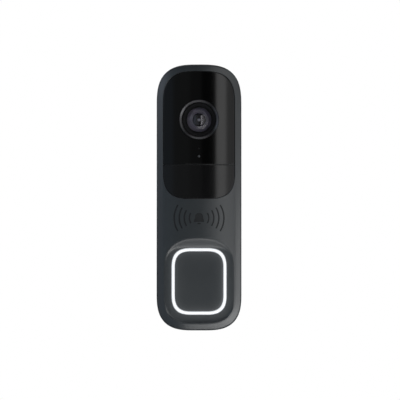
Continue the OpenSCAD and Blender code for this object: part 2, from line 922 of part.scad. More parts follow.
module ribbon_connectors()
  color("ivory") stand() {
    block(7.4, 5.6, board_low + 0.4, board_low + 3.2, board_top,
          board_top + 1.2);
    block(7, 5, ring_bottom + ring_h - 3, ring_bottom + ring_h + 1,
          board2_z - 1.4, board2_z);
  }

// Flat cable from the main board down to the button board, 0.2 thick
module button_ribbon() {
  t = 0.2;
  a = board_low + 0.4;
  b = ring_bottom + ring_h + 1;
  low = board_top + 0.4;
  high = board2_z - 0.9;
  run = battery_z + battery_t + 2.2;
  path = [[a, low], [a - 2, low], [a - 6, run], [b + 6, run], [b + 2, high],
          [b, high]];
  color("orange") stand() translate([7.2 - 2, 0, 0]) rotate([90, 0, 90])
    linear_extrude(4) polygon(concat(path,
      [for (i = [len(path) - 1 : -1 : 0]) path[i] + [0, t]]));
}

// ---------- power ----------

module battery()
  color("steelblue") stand() {
    block(0, 2 * battery_half, battery_low, battery_top - 3, battery_z,
          battery_z + battery_t);
    block(0, 2 * battery_half - 6, battery_top - 3, battery_top,
          battery_z + 1, battery_z + battery_t - 1);
  }

module battery_tape()
  color([0.15, 0.15, 0.15]) stand()
    block(0, 2 * battery_half - 7, battery_low + 2, battery_top - 5, tape_z,
          battery_z);

module battery_retainer() {
  side_x = battery_half + 0.9;
  low = battery_z + battery_t + gap;
  color([0.16, 0.17, 0.18]) stand() {
    difference() {
      block(0, 2 * side_x + 1.4, battery_low + 1, battery_top - 1, low,
            low + 1.2);
      block(0, 2 * battery_half - 10, battery_low + 9, battery_top - 9,
            low - 1, low + 2);
    }
    for (side = [-1, 1], y = [battery_low + 3, battery_top - 15])
      block(side * side_x, 1.4, y, y + 12, floor_z, low + 0.5);
  }
}

// A round wire of radius r through the points p
module wire(p, r)
  for (i = [0 : len(p) - 2]) {
    v = p[i + 1] - p[i];
    translate(p[i]) rotate([0, acos(v[2] / norm(v)), atan2(v[1], v[0])])
      cylinder(r = r, h = norm(v));
    if (i > 0) translate(p[i]) sphere(r = r + 0.03);
  }

module battery_lead()
  color("firebrick") stand() for (x = [-1.1, 1.1])
    wire([[x, battery_top, battery_z + battery_t / 2],
          [x, battery_top + 2.6, battery_z + battery_t / 2],
          [x, board_low - 0.8, board_z - 1],
          [x, board_low + 0.6, board_z - 1]], 0.45);

module battery_connector()
  color("ivory") stand()
    block(0, 5.4, board_low + 0.6, board_low + 4.2, board_z - 2, board_z);

module terminal_block() {
  low = cable_y - terminal_h / 2;
  color([0.1, 0.28, 0.2]) stand() difference() {
    block(0, terminal_w, low, low + terminal_h, terminal_z, board_z);
    for (side = [-1, 1]) {
      rod(side * terminal_x, cable_y, terminal_head_r + 0.3, terminal_z - 1,
          terminal_z + 2);
      rod(side * terminal_x, cable_y, terminal_screw_r + fit, terminal_z,
          board_z - 1.2);
    }
  }
}

module terminal_screws()
  color("gold") stand() for (side = [-1, 1])
    translate([side * terminal_x, cable_y, 0])
      screw(terminal_head_r, 1.4, terminal_screw_r, 4, terminal_z + 2);

// ---------- sound and radio ----------

module speaker() {
  y = speaker_y;
  color([0.14, 0.14, 0.15]) stand() difference() {
    block(0, 2 * speaker_half, y, y + speaker_h, speaker_z,
          speaker_z + speaker_w);
    block(0, 2 * speaker_half - 7, y - 1, y + 0.8, speaker_z + 1.4,
          speaker_z + speaker_w - 1.4);
  }
}

module speaker_seal() {
  color([0.2, 0.2, 0.2]) stand() difference() {
    block(0, 20.8, speaker_y - 1.7, speaker_y, speaker_z + 0.6,
          speaker_z + speaker_w);
    block(0, 18, speaker_y - 3, speaker_y + 1, speaker_z + 1.6,
          speaker_z + speaker_w - 1);
  }
}

module speaker_mesh()
  color([0.3, 0.3, 0.3]) stand()
    block(0, 19.2, speaker_y - 1.9, speaker_y - 1.7, speaker_z + 0.8,
          speaker_z + speaker_w - 0.2);

module speaker_contacts()
  color("gold") stand() for (x = [-9, -6])
    block(x, 1.4, speaker_y + 2, speaker_y + 6, speaker_z + speaker_w,
          board2_z);

module antennas()
  color("goldenrod") stand() for (side = [-1, 1])
    block(side * (half - wall - 0.15), 0.2, camera_low, camera_high - 4,
          split_z + 2, split_z + 11);

// ---------- lock and rear buttons ----------

module lock_insert()
  color("gold") stand() translate([0, lock_tab_y, lock_z]) rotate([-90, 0, 0])
    difference() {
      cylinder(r = insert_r - fit, h = insert_len - fit);
      translate([0, 0, -1]) cylinder(r = lock_r + fit, h = insert_len + 2);
    }

module rear_switches()
  color([0.15, 0.15, 0.15]) stand() for (side = [-1, 1])
    block(side * switch_x, 5, switch_y - 2.5, switch_y + 2.5,
          board_z - switch_t, board_z);

// Stepped pin between the back of the body and a switch on the main board
module rear_pin(travel) {
  stop = board_z - switch_t - travel - 0.1;
  rod(0, switch_y, pin_r, rear_z - 0.1, stop);
  rod(0, switch_y, collar_r, floor_z + fit, floor_z + 1.1);
}

module tamper_plunger()
  color([0.2, 0.2, 0.21]) stand() translate([-switch_x, 0, 0]) rear_pin(1);

module reset_button()
  color([0.5, 0.12, 0.1]) stand() translate([switch_x, 0, 0]) rear_pin(0.6);

// ---------- nodes ----------

wall_plate();
lock_screw();
front_housing();
rear_housing();
housing_seal();
housing_screws();
camera_window();
pir_lens();
bell_mark();
lens_bezel();
lens_baffle();
front_lens();
lens_barrel();
inner_lens();
lens_seal();
lens_holder();
ir_filter();
image_sensor();
camera_board();
camera_screws();
ir_emitters();
light_pipe();
light_sensor();
microphone();
microphone_boot();
pir_sensor();
light_ring();
ring_leds();
button_board();
button_board_screws();
button_switch();
switch_plunger();
button_cap();
button_pad();
main_board();
main_board_screws();
shield_can();
board_chips();
camera_connector();
ribbon_connectors();
button_ribbon();
battery();
battery_tape();
battery_retainer();
battery_lead();
battery_connector();
speaker();
speaker_seal();
speaker_mesh();
speaker_contacts();
antennas();
terminal_block();
terminal_screws();
lock_insert();
rear_switches();
tamper_plunger();
reset_button();
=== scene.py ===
"""Looks of a wall-mounted video doorbell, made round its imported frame."""

import json
from math import pi, radians

import bmesh
import bpy
import numpy as np
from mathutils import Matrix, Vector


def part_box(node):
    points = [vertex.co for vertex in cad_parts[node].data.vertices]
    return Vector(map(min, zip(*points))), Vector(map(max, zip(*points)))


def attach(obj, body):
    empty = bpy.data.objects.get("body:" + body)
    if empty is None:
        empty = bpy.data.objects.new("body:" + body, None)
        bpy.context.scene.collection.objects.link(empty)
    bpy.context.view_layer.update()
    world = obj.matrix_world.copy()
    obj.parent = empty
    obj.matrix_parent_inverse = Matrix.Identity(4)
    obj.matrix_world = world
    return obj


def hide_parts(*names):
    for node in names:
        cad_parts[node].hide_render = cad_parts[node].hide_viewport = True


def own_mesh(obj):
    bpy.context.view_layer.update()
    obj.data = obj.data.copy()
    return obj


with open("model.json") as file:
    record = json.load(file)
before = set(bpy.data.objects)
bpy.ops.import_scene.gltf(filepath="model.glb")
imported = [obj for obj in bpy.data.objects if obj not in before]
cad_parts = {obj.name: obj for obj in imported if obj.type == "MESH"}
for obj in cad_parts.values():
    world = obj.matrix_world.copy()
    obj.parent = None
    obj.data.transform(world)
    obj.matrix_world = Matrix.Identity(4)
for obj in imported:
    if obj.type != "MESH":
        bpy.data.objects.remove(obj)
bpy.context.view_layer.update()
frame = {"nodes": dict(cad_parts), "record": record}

bl_info = {
    "name": "Video Doorbell",
    "version": (1, 0, 0),
    "blender": (4, 5, 0),
    "location": "View3D > Sidebar > Doorbell",
    "description": "Shells, glossy window, camera, lit button and finishes of a video doorbell",
    "category": "Add Mesh",
}

MM = 0.001
WELD = 1e-6                 # points closer than this are one point
SHARP = radians(32)         # an edge that turns more than this stays sharp
RING_FLANGE = 1.2 * MM      # how far the light ring's flange reaches behind the shell
MARK_FLOOR = 0.28 * MM      # depth of the mark's sinking below the front
MARK_INK = 0.10 * MM        # depth of the mark's inked face below the front


# ---------------------------------------------------------------- settings

def length(name, default_mm, note):
    """A length property in metres whose default is given in millimetres."""
    return bpy.props.FloatProperty(name=name, description=note, default=default_mm * MM, min=0.0,
                                   precision=5, subtype="DISTANCE", unit="LENGTH")


def colour(name, default, note):
    """A linear colour property."""
    return bpy.props.FloatVectorProperty(name=name, description=note, default=default, size=3,
                                         min=0.0, max=1.0, subtype="COLOR")


def amount(name, default, note, high=1.0):
    """A plain number from 0 to high."""
    return bpy.props.FloatProperty(name=name, description=note, default=default, min=0.0, max=high,
                                   subtype="FACTOR" if high == 1.0 else "NONE")


class DoorbellSizes(bpy.types.PropertyGroup):
    """Sizes of the visible skins; places and outer sizes come from the frame."""
    corner_top: length("Upper corner", 20.8, "Size of the body's two upper corners")
    corner_bottom: length("Lower corner", 19.2, "Size of the body's two lower corners")
    power: bpy.props.FloatProperty(name="Corner squareness", default=2.9, min=2.0, max=4.0,
                                   description="Power of the corner curve; 2 is a circle")
    front_radius: length("Front bulge", 80.0, "Radius of the bulge across the front")
    bevel_width: length("Bevel width", 3.3, "Width of the bevel round the front")
    bevel_slope: amount("Bevel slope", 0.25, "Drop of the bevel for each unit of its width")
    bevel_round: length("Bevel rounding", 0.7, "Width of the rounding outside the bevel")
    bevel_drop: length("Bevel drop", 1.6, "Drop of the bevel and its rounding together")
    wall: length("Wall", 1.8, "Thickness of the shell walls")
    window_rim: length("Window rim", 3.4, "Rim between the window and the outside of the body")
    window_corner: length("Window corner", 14.5, "Size of the window's lower corners")
    window_edge: length("Window edge", 0.28, "Radius of the polished edge of the window panels")
    panel: length("Panel thickness", 1.4, "Thickness of the window panels")
    dish_depth: length("Dish depth", 2.1, "Depth of the dish's floor below the crown")
    dish_side: length("Dish side margin", 3.75, "Flat floor beside the light ring")
    dish_low: length("Dish lower margin", 3.3, "Flat floor below the light ring")
    dish_high: length("Dish upper margin", 0.3, "Flat floor above the light ring")
    dish_corner_low: length("Dish lower corner", 14.2, "Size of the dish floor's lower corners")
    dish_corner_high: length("Dish upper corner", 12.4, "Size of the dish floor's upper corners")
    dish_runs: bpy.props.FloatVectorProperty(
        name="Dish slopes", default=(0.5, 0.45, 2.2, 1.3), size=4, min=0.1,
        description="Run for a unit of rise at the sides, below, above and in the upper corners")
    ring_corner: length("Ring corner", 11.0, "Size of the light ring's outer corners")
    ring_band: length("Ring band", 1.8, "Width of the light ring")
    button_gap: length("Button gap", 0.2, "Gap between the light ring and the button")
    button_hollow: length("Button hollow", 0.10, "How far the button's face dips in its middle")
    button_edge: length("Button edge", 0.45, "Radius of the button's rounded edge")
    lens_radius: length("Lens radius", 6.3, "Radius of the front lens")


class DoorbellColours(bpy.types.PropertyGroup):
    """Colours of the visible pieces."""
    shell: colour("Shell", (0.026, 0.033, 0.038), "Graphite of the two shells")
    button: colour("Button", (0.033, 0.040, 0.045), "Graphite of the call button")
    window: colour("Window", (0.0004, 0.0004, 0.0005), "Black of the camera window")
    sensor: colour("Sensor window", (0.0060, 0.0060, 0.0064), "Black of the motion sensor's panel")
    mark: colour("Mark", (0.010, 0.012, 0.014), "Ink of the bell mark")
    glow: colour("Glow", (0.96, 0.98, 1.0), "Light of the ring")
    coating: colour("Lens coating", (0.17, 0.16, 0.20), "Tint behind the front lens")


class DoorbellLight(bpy.types.PropertyGroup):
    """Strengths of the ring and of the studio."""
    ring: amount("Ring glow", 0.80, "Strength of the ring's light", 10.0)
    # spill sets the painted glow: emission on the shell and button beside the ring, standing in for its
    # light
    spill: amount("Ring spill", 0.034, "Light that the plastic beside the ring picks up")
    panels: amount("Studio panels", 1.0, "Strength of the tall panels round the front", 10.0)
    soft: amount("Softboxes", 1.0, "Strength of the softboxes at the sides and below", 10.0)
    sky: amount("Sky light", 0.02, "Brightness of the room", 10.0)


# ---------------------------------------------------------------- shapes

def arc(centre, radius, start, end, steps):
    """Points (steps + 1, 2) of a circular arc from angle start to end, in degrees."""
    t = np.radians(np.linspace(start, end, steps + 1))
    return np.asarray(centre) + radius * np.stack([np.cos(t), np.sin(t)], -1)


class Soft:
    """A soft-cornered rectangle in the plane of the wall.

    Its corners are the curve |a|^n + |b|^n = r^n, whose size r may differ between the lower
    and upper corners, and an inset outline keeps the corner centres and shrinks r.
    """

    def __init__(self, half, low, high, corner_low, corner_high, power):
        self.half, self.low, self.high = half, low, high
        self.corner_low, self.corner_high, self.power = corner_low, corner_high, power

    def grid(self, inset=0.0, rows=60, columns=48, corner=16):
        """Points (rows, columns, 2) that fill the outline moved in by inset.

        Row heights follow the corner curve's b, the half width is the straight half plus the
        curve's a, and the columns share each row evenly.
        """
        t = np.linspace(0, 1, corner + 1)
        even = self.power / 2       # spreads the points evenly along the corner
        t = t ** even / (t ** even + (1 - t) ** even) * pi / 2
        a = np.maximum(np.cos(t), 0) ** (2 / self.power)
        b = np.maximum(np.sin(t), 0) ** (2 / self.power)
        low, high = self.corner_low - inset, self.corner_high - inset
        inner_low, inner_high = self.low + self.corner_low, self.high - self.corner_high
        side = np.linspace(inner_low, inner_high, rows + 1)[1:-1]
        height = np.concatenate([(inner_low - low * b)[::-1], side, inner_high + high * b])
        wide = np.concatenate([(self.half - self.corner_low + low * a)[::-1],
                               np.full(len(side), self.half - inset),
                               self.half - self.corner_high + high * a])
        across = np.linspace(-1, 1, columns)
        return np.stack([wide[:, None] * across, np.repeat(height[:, None], columns, 1)], -1)

    def loop(self, inset=0.0, **density):
        """The closed boundary (points, 2) of that grid, anticlockwise, first point repeated."""
        return border(self.grid(inset, **density))

    def depth(self, x, z):
        """How far (x, z) lies inside the outline, in the measure that the insets share.

        Beside a corner it is r less the corner curve's own radius through the point, and
        elsewhere the distance from the nearer straight side.
        """
        upper = z > (self.low + self.corner_low + self.high - self.corner_high) / 2
        r = np.where(upper, self.corner_high, self.corner_low)
        a = np.abs(x) - (self.half - r)
        b = np.where(upper, z - (self.high - r), self.low + r - z)
        both = (a > 0) & (b > 0)
        curve = np.maximum(a, 0) ** self.power + np.maximum(b, 0) ** self.power
        return r - np.where(both, curve ** (1 / self.power), np.maximum(a, b))


def border(grid):
    """The boundary of a grid (rows, columns, ...), once round, its first point repeated."""
    return np.concatenate([grid[0, :-1], grid[:-1, -1], grid[-1, :0:-1], grid[:0:-1, 0], grid[:1, 0]])


def level_ground(x, z):
    """The level of a flat face: no shift anywhere."""
    return np.zeros_like(x)


def upright(plan, out):
    """Plan points (..., 2) stood up against the wall at the distance out from it."""
    out = np.broadcast_to(out, plan.shape[:-1])
    return np.stack([plan[..., 0], -out, plan[..., 1]], -1)


def rings(soft, profile, level=level_ground, **density):
    """A surface from one loop for each (inset, out) in profile; level shifts out at each point."""
    loops = []
    for inset, out in profile:
        p = soft.loop(inset, **density)
        loops.append(upright(p, out + level(p[:, 0], p[:, 1])))
    return np.stack(loops)


def patch(soft, inset, out, level=level_ground, **density):
    """A surface that fills the outline at that inset, at out plus level."""
    p = soft.grid(inset, **density)
    return upright(p, out + level(p[..., 0], p[..., 1]))


def turned(profile, x, z, steps=128):
    """A profile (points, 2) of radius and distance out, turned about the axis at (x, z).

    The profile is closed, or both its ends lie on the axis.
    """
    t = np.linspace(0, 2 * pi, steps + 1)
    radius, out = profile[:, 0][:, None], profile[:, 1][:, None]
    flat = np.zeros_like(t)
    return np.stack([x + radius * np.cos(t), -out + flat, z + radius * np.sin(t)], -1)


def closed(profile):
    """The profile with its first point repeated."""
    return np.concatenate([profile, profile[:1]])


def slab(grid, low, high):
    """The closed skin of a plan grid between two distances out, each a number or one a point."""
    bottom, top = upright(grid, low), upright(grid, high)
    return bottom, top, np.stack([border(bottom), border(top)])


def quarter_round(inset, radius, top, steps):
    """Profile rows (inset, out) of a quarter circle that turns from the side onto the top."""
    return [(inset + radius * (1 - np.cos(a)), top - radius * (1 - np.sin(a)))
            for a in np.linspace(0, pi / 2, steps + 1)]


def staircase(radius, out):
    """Profile points of a stair: across to the next radius, then along to the next distance."""
    return np.stack([np.repeat(radius, 2)[1:-1], np.repeat(out, 2)[:-2]], -1)


def peg(radius, foot, apex, bulge, points):
    """Half profile of a peg: a parabola from the apex out to the radius, then the side and foot."""
    t = np.linspace(0, 1, points)
    face = np.stack([radius * t, apex - bulge * t ** 2], -1)
    return np.concatenate([face, [[radius, foot], [0, foot]]])


def build(name, *grids):
    """One object from point grids (rows, columns, 3) that meet edge to edge."""
    points, faces, base = [], [], 0
    for g in grids:
        rows, columns = g.shape[:2]
        i = base + np.arange(rows * columns).reshape(rows, columns)
        faces.append(np.stack([i[:-1, :-1], i[:-1, 1:], i[1:, 1:], i[1:, :-1]], -1).reshape(-1, 4))
        points.append(g.reshape(-1, 3))
        base += rows * columns
    mesh = bpy.data.meshes.new(name)
    mesh.from_pydata(np.concatenate(points).tolist(), [], np.concatenate(faces).tolist())
    bm = bmesh.new()
    bm.from_mesh(mesh)
    bmesh.ops.remove_doubles(bm, verts=bm.verts, dist=WELD)
    bmesh.ops.dissolve_degenerate(bm, edges=bm.edges, dist=WELD)
    bmesh.ops.recalc_face_normals(bm, faces=bm.faces)
    bm.to_mesh(mesh)
    bm.free()
    piece = bpy.data.objects.new(name, mesh)
    bpy.context.scene.collection.objects.link(piece)
    return piece


def rod(name, x, z, radius, low, high, steps):
    """A closed cylinder about the axis at (x, z): a rectangle turned round it."""
    profile = np.array([[0, low], [radius, low], [radius, high], [0, high]])
    return build(name, turned(profile, x, z, steps))


def carve(piece, *cutters):
    """Cuts the closed cutters out of the closed piece, and deletes them."""
    for cutter in cutters:
        cut = piece.modifiers.new("cut", "BOOLEAN")
        cut.operation, cut.solver, cut.object = "DIFFERENCE", "MANIFOLD", cutter
    graph = bpy.context.evaluated_depsgraph_get()
    mesh = bpy.data.meshes.new_from_object(piece.evaluated_get(graph))
    piece.modifiers.clear()
    piece.data = mesh
    for cutter in cutters:
        bpy.data.objects.remove(cutter)


def check_closed(piece):
    """Stops the script if an edge of the piece doesn't have two faces."""
    bm = bmesh.new()
    bm.from_mesh(piece.data)
    loose = sum(len(e.link_faces) != 2 for e in bm.edges)
    bm.free()
    if loose:
        raise RuntimeError(f"{piece.name} has {loose} open edges")


def settle(piece, body, slot, material, *nodes):
    """Shades a finished piece, gives it its material, and puts it in place of its CAD nodes."""
    check_closed(piece)
    piece.data.shade_smooth()
    piece.data.set_sharp_from_angle(angle=SHARP)
    piece.data.materials.clear()
    piece.data.materials.append(material)
    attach(piece, body)
    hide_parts(*nodes)


# ---------------------------------------------------------------- materials

class Value:
    """A shader socket; arithmetic on it adds Math nodes."""

    def __init__(self, shader, socket):
        self.shader, self.socket = shader, socket

    def math(self, operation, *values):
        """A Math node with these values after this one."""
        inputs = dict(enumerate((self, *values)))
        return self.shader.node("ShaderNodeMath", {"operation": operation}, inputs)

    def __add__(self, other):
        return self.math("ADD", other)

    def __mul__(self, other):
        return self.math("MULTIPLY", other)

    def __sub__(self, other):
        return self.math("SUBTRACT", other)

    def __truediv__(self, other):
        return self.math("DIVIDE", other)

    def __pow__(self, other):
        return self.math("POWER", other)

    def __rsub__(self, other):
        return (self * -1.0) + other

    __radd__, __rmul__ = __add__, __mul__

    def band(self, low, high):
        """0 below low, 1 above high, smooth between."""
        return self.shader.node("ShaderNodeMapRange", {"interpolation_type": "SMOOTHSTEP"},
                                {"Value": self, "From Min": low, "From Max": high})


class Shader:
    """One material and its nodes."""

    def __init__(self, name):
        self.material = bpy.data.materials.new(name)
        self.material.use_nodes = True
        self.tree = self.material.node_tree
        self.tree.nodes.clear()

    def node(self, kind, settings=None, inputs=None, output=0):
        """Adds a node: its settings first, then the values or links of its sockets."""
        n = self.tree.nodes.new(kind)
        for key, value in (settings or {}).items():
            setattr(n, key, value)
        for key, value in (inputs or {}).items():
            if isinstance(value, Value):
                self.tree.links.new(value.socket, n.inputs[key])
            else:
                n.inputs[key].default_value = value
        return Value(self, n.outputs[output]) if n.outputs else None

    def place(self):
        """The object's own coordinates, in metres."""
        return self.node("ShaderNodeTexCoord", output=3)

    def axes(self):
        """The three coordinates as numbers."""
        place = self.place()
        return [self.node("ShaderNodeSeparateXYZ", inputs={0: place}, output=i) for i in range(3)]

    def waves(self, along, pitch):
        """A sine of the value along, from -1 to 1, that repeats every pitch."""
        return (along * (2 * pi / pitch)).math("SINE")

    def noise(self, grain, detail=2.0, stretch=(1, 1, 1)):
        """Soft noise from 0 to 1 whose grains are about that many metres across."""
        where = self.node("ShaderNodeMapping", inputs={0: self.place(), "Scale": stretch})
        return self.node("ShaderNodeTexNoise", {"noise_dimensions": "3D"},
                         {"Vector": where, "Scale": 1 / grain, "Detail": detail})

    def cells(self, grain):
        """Distance from 0 to about 1 to the middle of the nearest cell of that size."""
        return self.node("ShaderNodeTexVoronoi", inputs={"Vector": self.place(), "Scale": 1 / grain})

    def radius(self, x0, z0):
        """Distance from the axis that runs out of the wall at (x0, z0)."""
        x, _, z = self.axes()
        return ((x - x0) * (x - x0) + (z - z0) * (z - z0)).math("SQRT")

    def beyond(self, soft, inset):
        """Metres outside the outline moved in by inset, in the measure that the insets share."""
        x, _, z = self.axes()
        r = soft.corner_low
        middle, tall = (soft.low + soft.high) / 2, (soft.high - soft.low) / 2
        a = (x.math("ABSOLUTE") - (soft.half - r)).math("MAXIMUM", 0.0) / r
        b = ((z - middle).math("ABSOLUTE") - (tall - r)).math("MAXIMUM", 0.0) / r
        return ((a ** soft.power + b ** soft.power) ** (1 / soft.power) - (1 - inset / r)) * r

    def glow(self, soft, inset, reach):
        """Painted glow that stands in for the ring's light: 1 at the outline moved in by inset, fading
        with reach.
        """
        return (self.beyond(soft, inset).math("ABSOLUTE") * (-1 / reach)).math("EXPONENT")

    def mix(self, factor, a, b):
        """Colour a where the factor is 0, b where it is 1."""
        return self.node("ShaderNodeMix", {"data_type": "RGBA"},
                         {0: factor, 6: a, 7: b}, output=2)

    def bump(self, height, depth):
        """A normal from a height of 0 to 1 that stands for that many metres."""
        return self.node("ShaderNodeBump", inputs={"Height": height, "Distance": depth, "Strength": 1.0})

    def surface(self, **sockets):
        """The shader itself; names are the Principled sockets with _ for spaces."""
        inputs = {key.replace("_", " "): value for key, value in sockets.items()}
        shade = self.node("ShaderNodeBsdfPrincipled", inputs=inputs)
        self.node("ShaderNodeOutputMaterial", inputs={"Surface": shade})
        return self.material


def rgba(c, gain=1.0):
    """A colour with its alpha, brightened by gain."""
    return (*[min(v * gain, 1.0) for v in c[:3]], 1.0)


CLOUDING = 9 * MM           # size of the clouds in the moulded plastics
HAZE = 14 * MM              # size of the clouds in the polished plastics


def satin(name, c, roughness=0.46, grain=0.16 * MM, depth=0.006 * MM, spread=0.12, specular=0.5,
          index=1.5, lit=None, strength=0.0):
    """Moulded plastic: a spark-eroded grain, and slight clouding of colour and gloss.

    lit holds the arguments of the glow(): a painted glow, emission that stands in for the
    light ring's light on the plastic beside it; strength is its brightness.
    """
    s = Shader(name)
    cloud = s.noise(CLOUDING, 3.0)
    fine = s.noise(grain, 3.0)
    pits = s.cells(grain * 1.7)
    mottle = cloud * 0.6 + fine * 0.4
    painted_ring_glow = {}
    # painted glow: emission on the plastic near the ring stands in for the ring's light falling on it
    if lit:
        painted_ring_glow["Emission_Color"] = s.mix(s.glow(*lit), (0, 0, 0, 1), (0.93, 0.97, 1, 1))
        painted_ring_glow["Emission_Strength"] = strength
    return s.surface(
        Base_Color=s.mix(mottle, rgba(c, 1 - spread), rgba(c, 1 + spread)),
        Roughness=(fine - 0.5) * 0.10 + (cloud - 0.5) * 0.05 + roughness,
        IOR=index, Specular_IOR_Level=specular,
        Normal=s.bump(fine * 0.7 + pits * 0.3, depth), **painted_ring_glow)


def polished(name, c, roughness=0.11, coat=0.0, specular=0.5):
    """Polished dark plastic: almost flat, with faint polishing haze."""
    s = Shader(name)
    haze = s.noise(HAZE, 2.0)
    fine = s.noise(0.35 * MM, 2.0)
    return s.surface(
        Base_Color=s.mix(haze, rgba(c, 0.9), rgba(c, 1.1)),
        Roughness=(fine - 0.5) * 0.015 + (haze - 0.5) * 0.02 + roughness,
        Specular_IOR_Level=specular, Coat_Weight=coat, Coat_Roughness=0.02,
        Normal=s.bump(haze, 0.0005 * MM))


def metal(name, c, roughness=0.3, stretch=(1, 1, 12)):
    """Drawn or plated metal: streaks along one axis, and small dull spots."""
    s = Shader(name)
    streak = s.noise(0.5 * MM, 4.0, stretch)
    spots = s.noise(1.2 * MM, 2.0).band(0.62, 0.75)
    return s.surface(
        Base_Color=s.mix(streak, rgba(c, 0.85), rgba(c, 1.08)), Metallic=1.0,
        Roughness=(streak - 0.5) * 0.16 + spots * 0.1 + roughness,
        Normal=s.bump(streak, 0.003 * MM))


def board(name, c):
    """Circuit board: solder mask over copper tracks, with tinned vias on a grid."""
    s = Shader(name)
    x, _, z = s.axes()
    along_pitch, cross_pitch, via_pitch = 1.3 * MM, 2.1 * MM, 1.9 * MM
    bend = s.noise(6 * MM, 1.0) * 2.2
    tracks = (x * (2 * pi / along_pitch) + bend * 3).math("SINE").band(0.35, 0.6)
    cross = (z * (2 * pi / cross_pitch) - bend * 2).math("SINE").band(0.55, 0.75)
    copper = (tracks + cross).math("MINIMUM", 1.0)
    vias = 1 - s.cells(via_pitch).band(0.10, 0.16)
    base = s.mix(copper, rgba(c, 0.8), rgba(c, 1.55))
    return s.surface(
        Base_Color=s.mix(vias, base, (0.62, 0.58, 0.48, 1)), Metallic=vias * 0.9,
        Roughness=vias * 0.1 + copper * -0.06 + 0.34, Coat_Weight=0.3,
        Normal=s.bump(copper * 0.6 + vias * 0.4, 0.03 * MM))


def striped(name, c, line, pitch=0.5 * MM):
    """Flat flexible cable: conductors of one colour under a film of another."""
    s = Shader(name)
    lines = s.waves(s.axes()[0], pitch).band(0.0, 0.35)
    return s.surface(Base_Color=s.mix(lines, rgba(c), rgba(line)), Roughness=0.1 * lines + 0.35,
                     Normal=s.bump(lines, 0.01 * MM))


def woven(name, c, pitch=0.25 * MM):
    """Fine woven wire: warp and weft that rise in turn, with dark pores."""
    s = Shader(name)
    x, y, z = s.axes()
    warp = (x * (pi / pitch)).math("SINE").math("ABSOLUTE")
    weft = ((z - y) * (pi / pitch)).math("SINE").math("ABSOLUTE")
    wire = warp.math("MAXIMUM", weft)
    return s.surface(Base_Color=s.mix(wire.band(0.3, 0.8), (0.01, 0.01, 0.01, 1), rgba(c)),
                     Metallic=0.8, Roughness=0.45 - 0.1 * wire, Normal=s.bump(wire, 0.04 * MM))


def foamed(name, c, grain=0.35 * MM):
    """Closed-cell foam or soft rubber: rounded cells with dark joints."""
    s = Shader(name)
    cells = s.cells(grain)
    fine = s.noise(grain * 0.3, 2.0)
    return s.surface(Base_Color=s.mix(cells, rgba(c, 1.25), rgba(c, 0.6)),
                     Roughness=0.08 * fine + 0.78, Normal=s.bump(1 - cells, 0.05 * MM),
                     Sheen_Weight=0.15)


def clear(name, c, roughness=0.0, transmission=1.0, specular=0.5):
    """Optical glass or clear plastic with a faint haze."""
    s = Shader(name)
    haze = s.noise(3 * MM, 2.0)
    return s.surface(Base_Color=s.mix(haze, rgba(c, 0.96), rgba(c)), IOR=1.5,
                     Roughness=haze * 0.01 + roughness, Transmission_Weight=transmission,
                     Specular_IOR_Level=specular)


def glowing(name, c, strength, soft, band):
    """Lit milky light guide: bright along the middle of its band, dimmer at both edges."""
    s = Shader(name)
    cloud = s.noise(4 * MM, 2.0)
    off_middle = s.beyond(soft, band / 2).math("ABSOLUTE").band(0.27 * band, 0.47 * band)
    even = s.mix(cloud, rgba(c, 0.97), rgba(c))
    return s.surface(Base_Color=(0.5, 0.52, 0.55, 1), Roughness=0.05 * cloud + 0.3,
                     Emission_Color=s.mix(off_middle, even, rgba(c, 0.15)),
                     Emission_Strength=strength)


def wrapped(name, c):
    """Battery pouch: satin laminate with long soft creases."""
    s = Shader(name)
    crease = s.noise(7 * MM, 3.0, (1, 1, 0.35))
    fine = s.noise(0.3 * MM, 2.0)
    return s.surface(Base_Color=s.mix(crease, rgba(c, 0.85), rgba(c, 1.1)), Metallic=0.35,
                     Roughness=0.1 * fine + 0.3, Normal=s.bump(crease * 0.9 + fine * 0.1, 0.12 * MM))


def die(name):
    """Image sensor: a blue-green field of fine rows under cover glass."""
    s = Shader(name)
    row_pitch = 0.06 * MM
    rows = s.waves(s.axes()[0], row_pitch) * 0.5 + 0.5
    return s.surface(Base_Color=s.mix(rows, (0.03, 0.06, 0.09, 1), (0.06, 0.10, 0.13, 1)),
                     Roughness=0.12 + 0.05 * rows, Coat_Weight=0.8, Coat_Roughness=0.02)


def coated_core(name, x0, z0, radius):
    """Deep lens element: almost black, with faint rings and a painted reflection: a pale spot on the
    axis.
    """
    s = Shader(name)
    r, ripple = s.radius(x0, z0) / radius, 14
    rings = (r * ripple).math("SINE") * 0.5 + 0.5
    dark = s.mix(rings, (0.006, 0.005, 0.009, 1), (0.012, 0.011, 0.017, 1))
    # painted reflection: a pale spot on the axis stands in for a light reflected in the lens
    painted_glint = 1 - r.band(0.12, 0.30)
    return s.surface(Base_Color=s.mix(painted_glint, dark, (0.58, 0.58, 0.62, 1)),
                     Roughness=0.05 * rings + 0.12, Coat_Weight=1.0, Coat_Roughness=0.05)


def bezel_finish(x0, z0, outer):
    """Turned satin metal: fine rings round the lens axis, and painted shade on the outer edge for the
    dark gap round the bezel.
    """
    s = Shader("bezel_satin")
    r, groove = s.radius(x0, z0), 0.09 * MM
    rings = s.waves(r, groove) * 0.5 + 0.5
    # painted shade: the outer edge is darkened to stand in for the dark gap round the bezel
    edge = (r / outer).band(0.965, 0.985)
    return s.surface(Base_Color=s.mix(edge, (0.12, 0.12, 0.125, 1), (0.03, 0.03, 0.032, 1)),
                     Metallic=0.85, Roughness=0.08 * rings + 0.27,
                     Normal=s.bump(rings, 0.002 * MM))


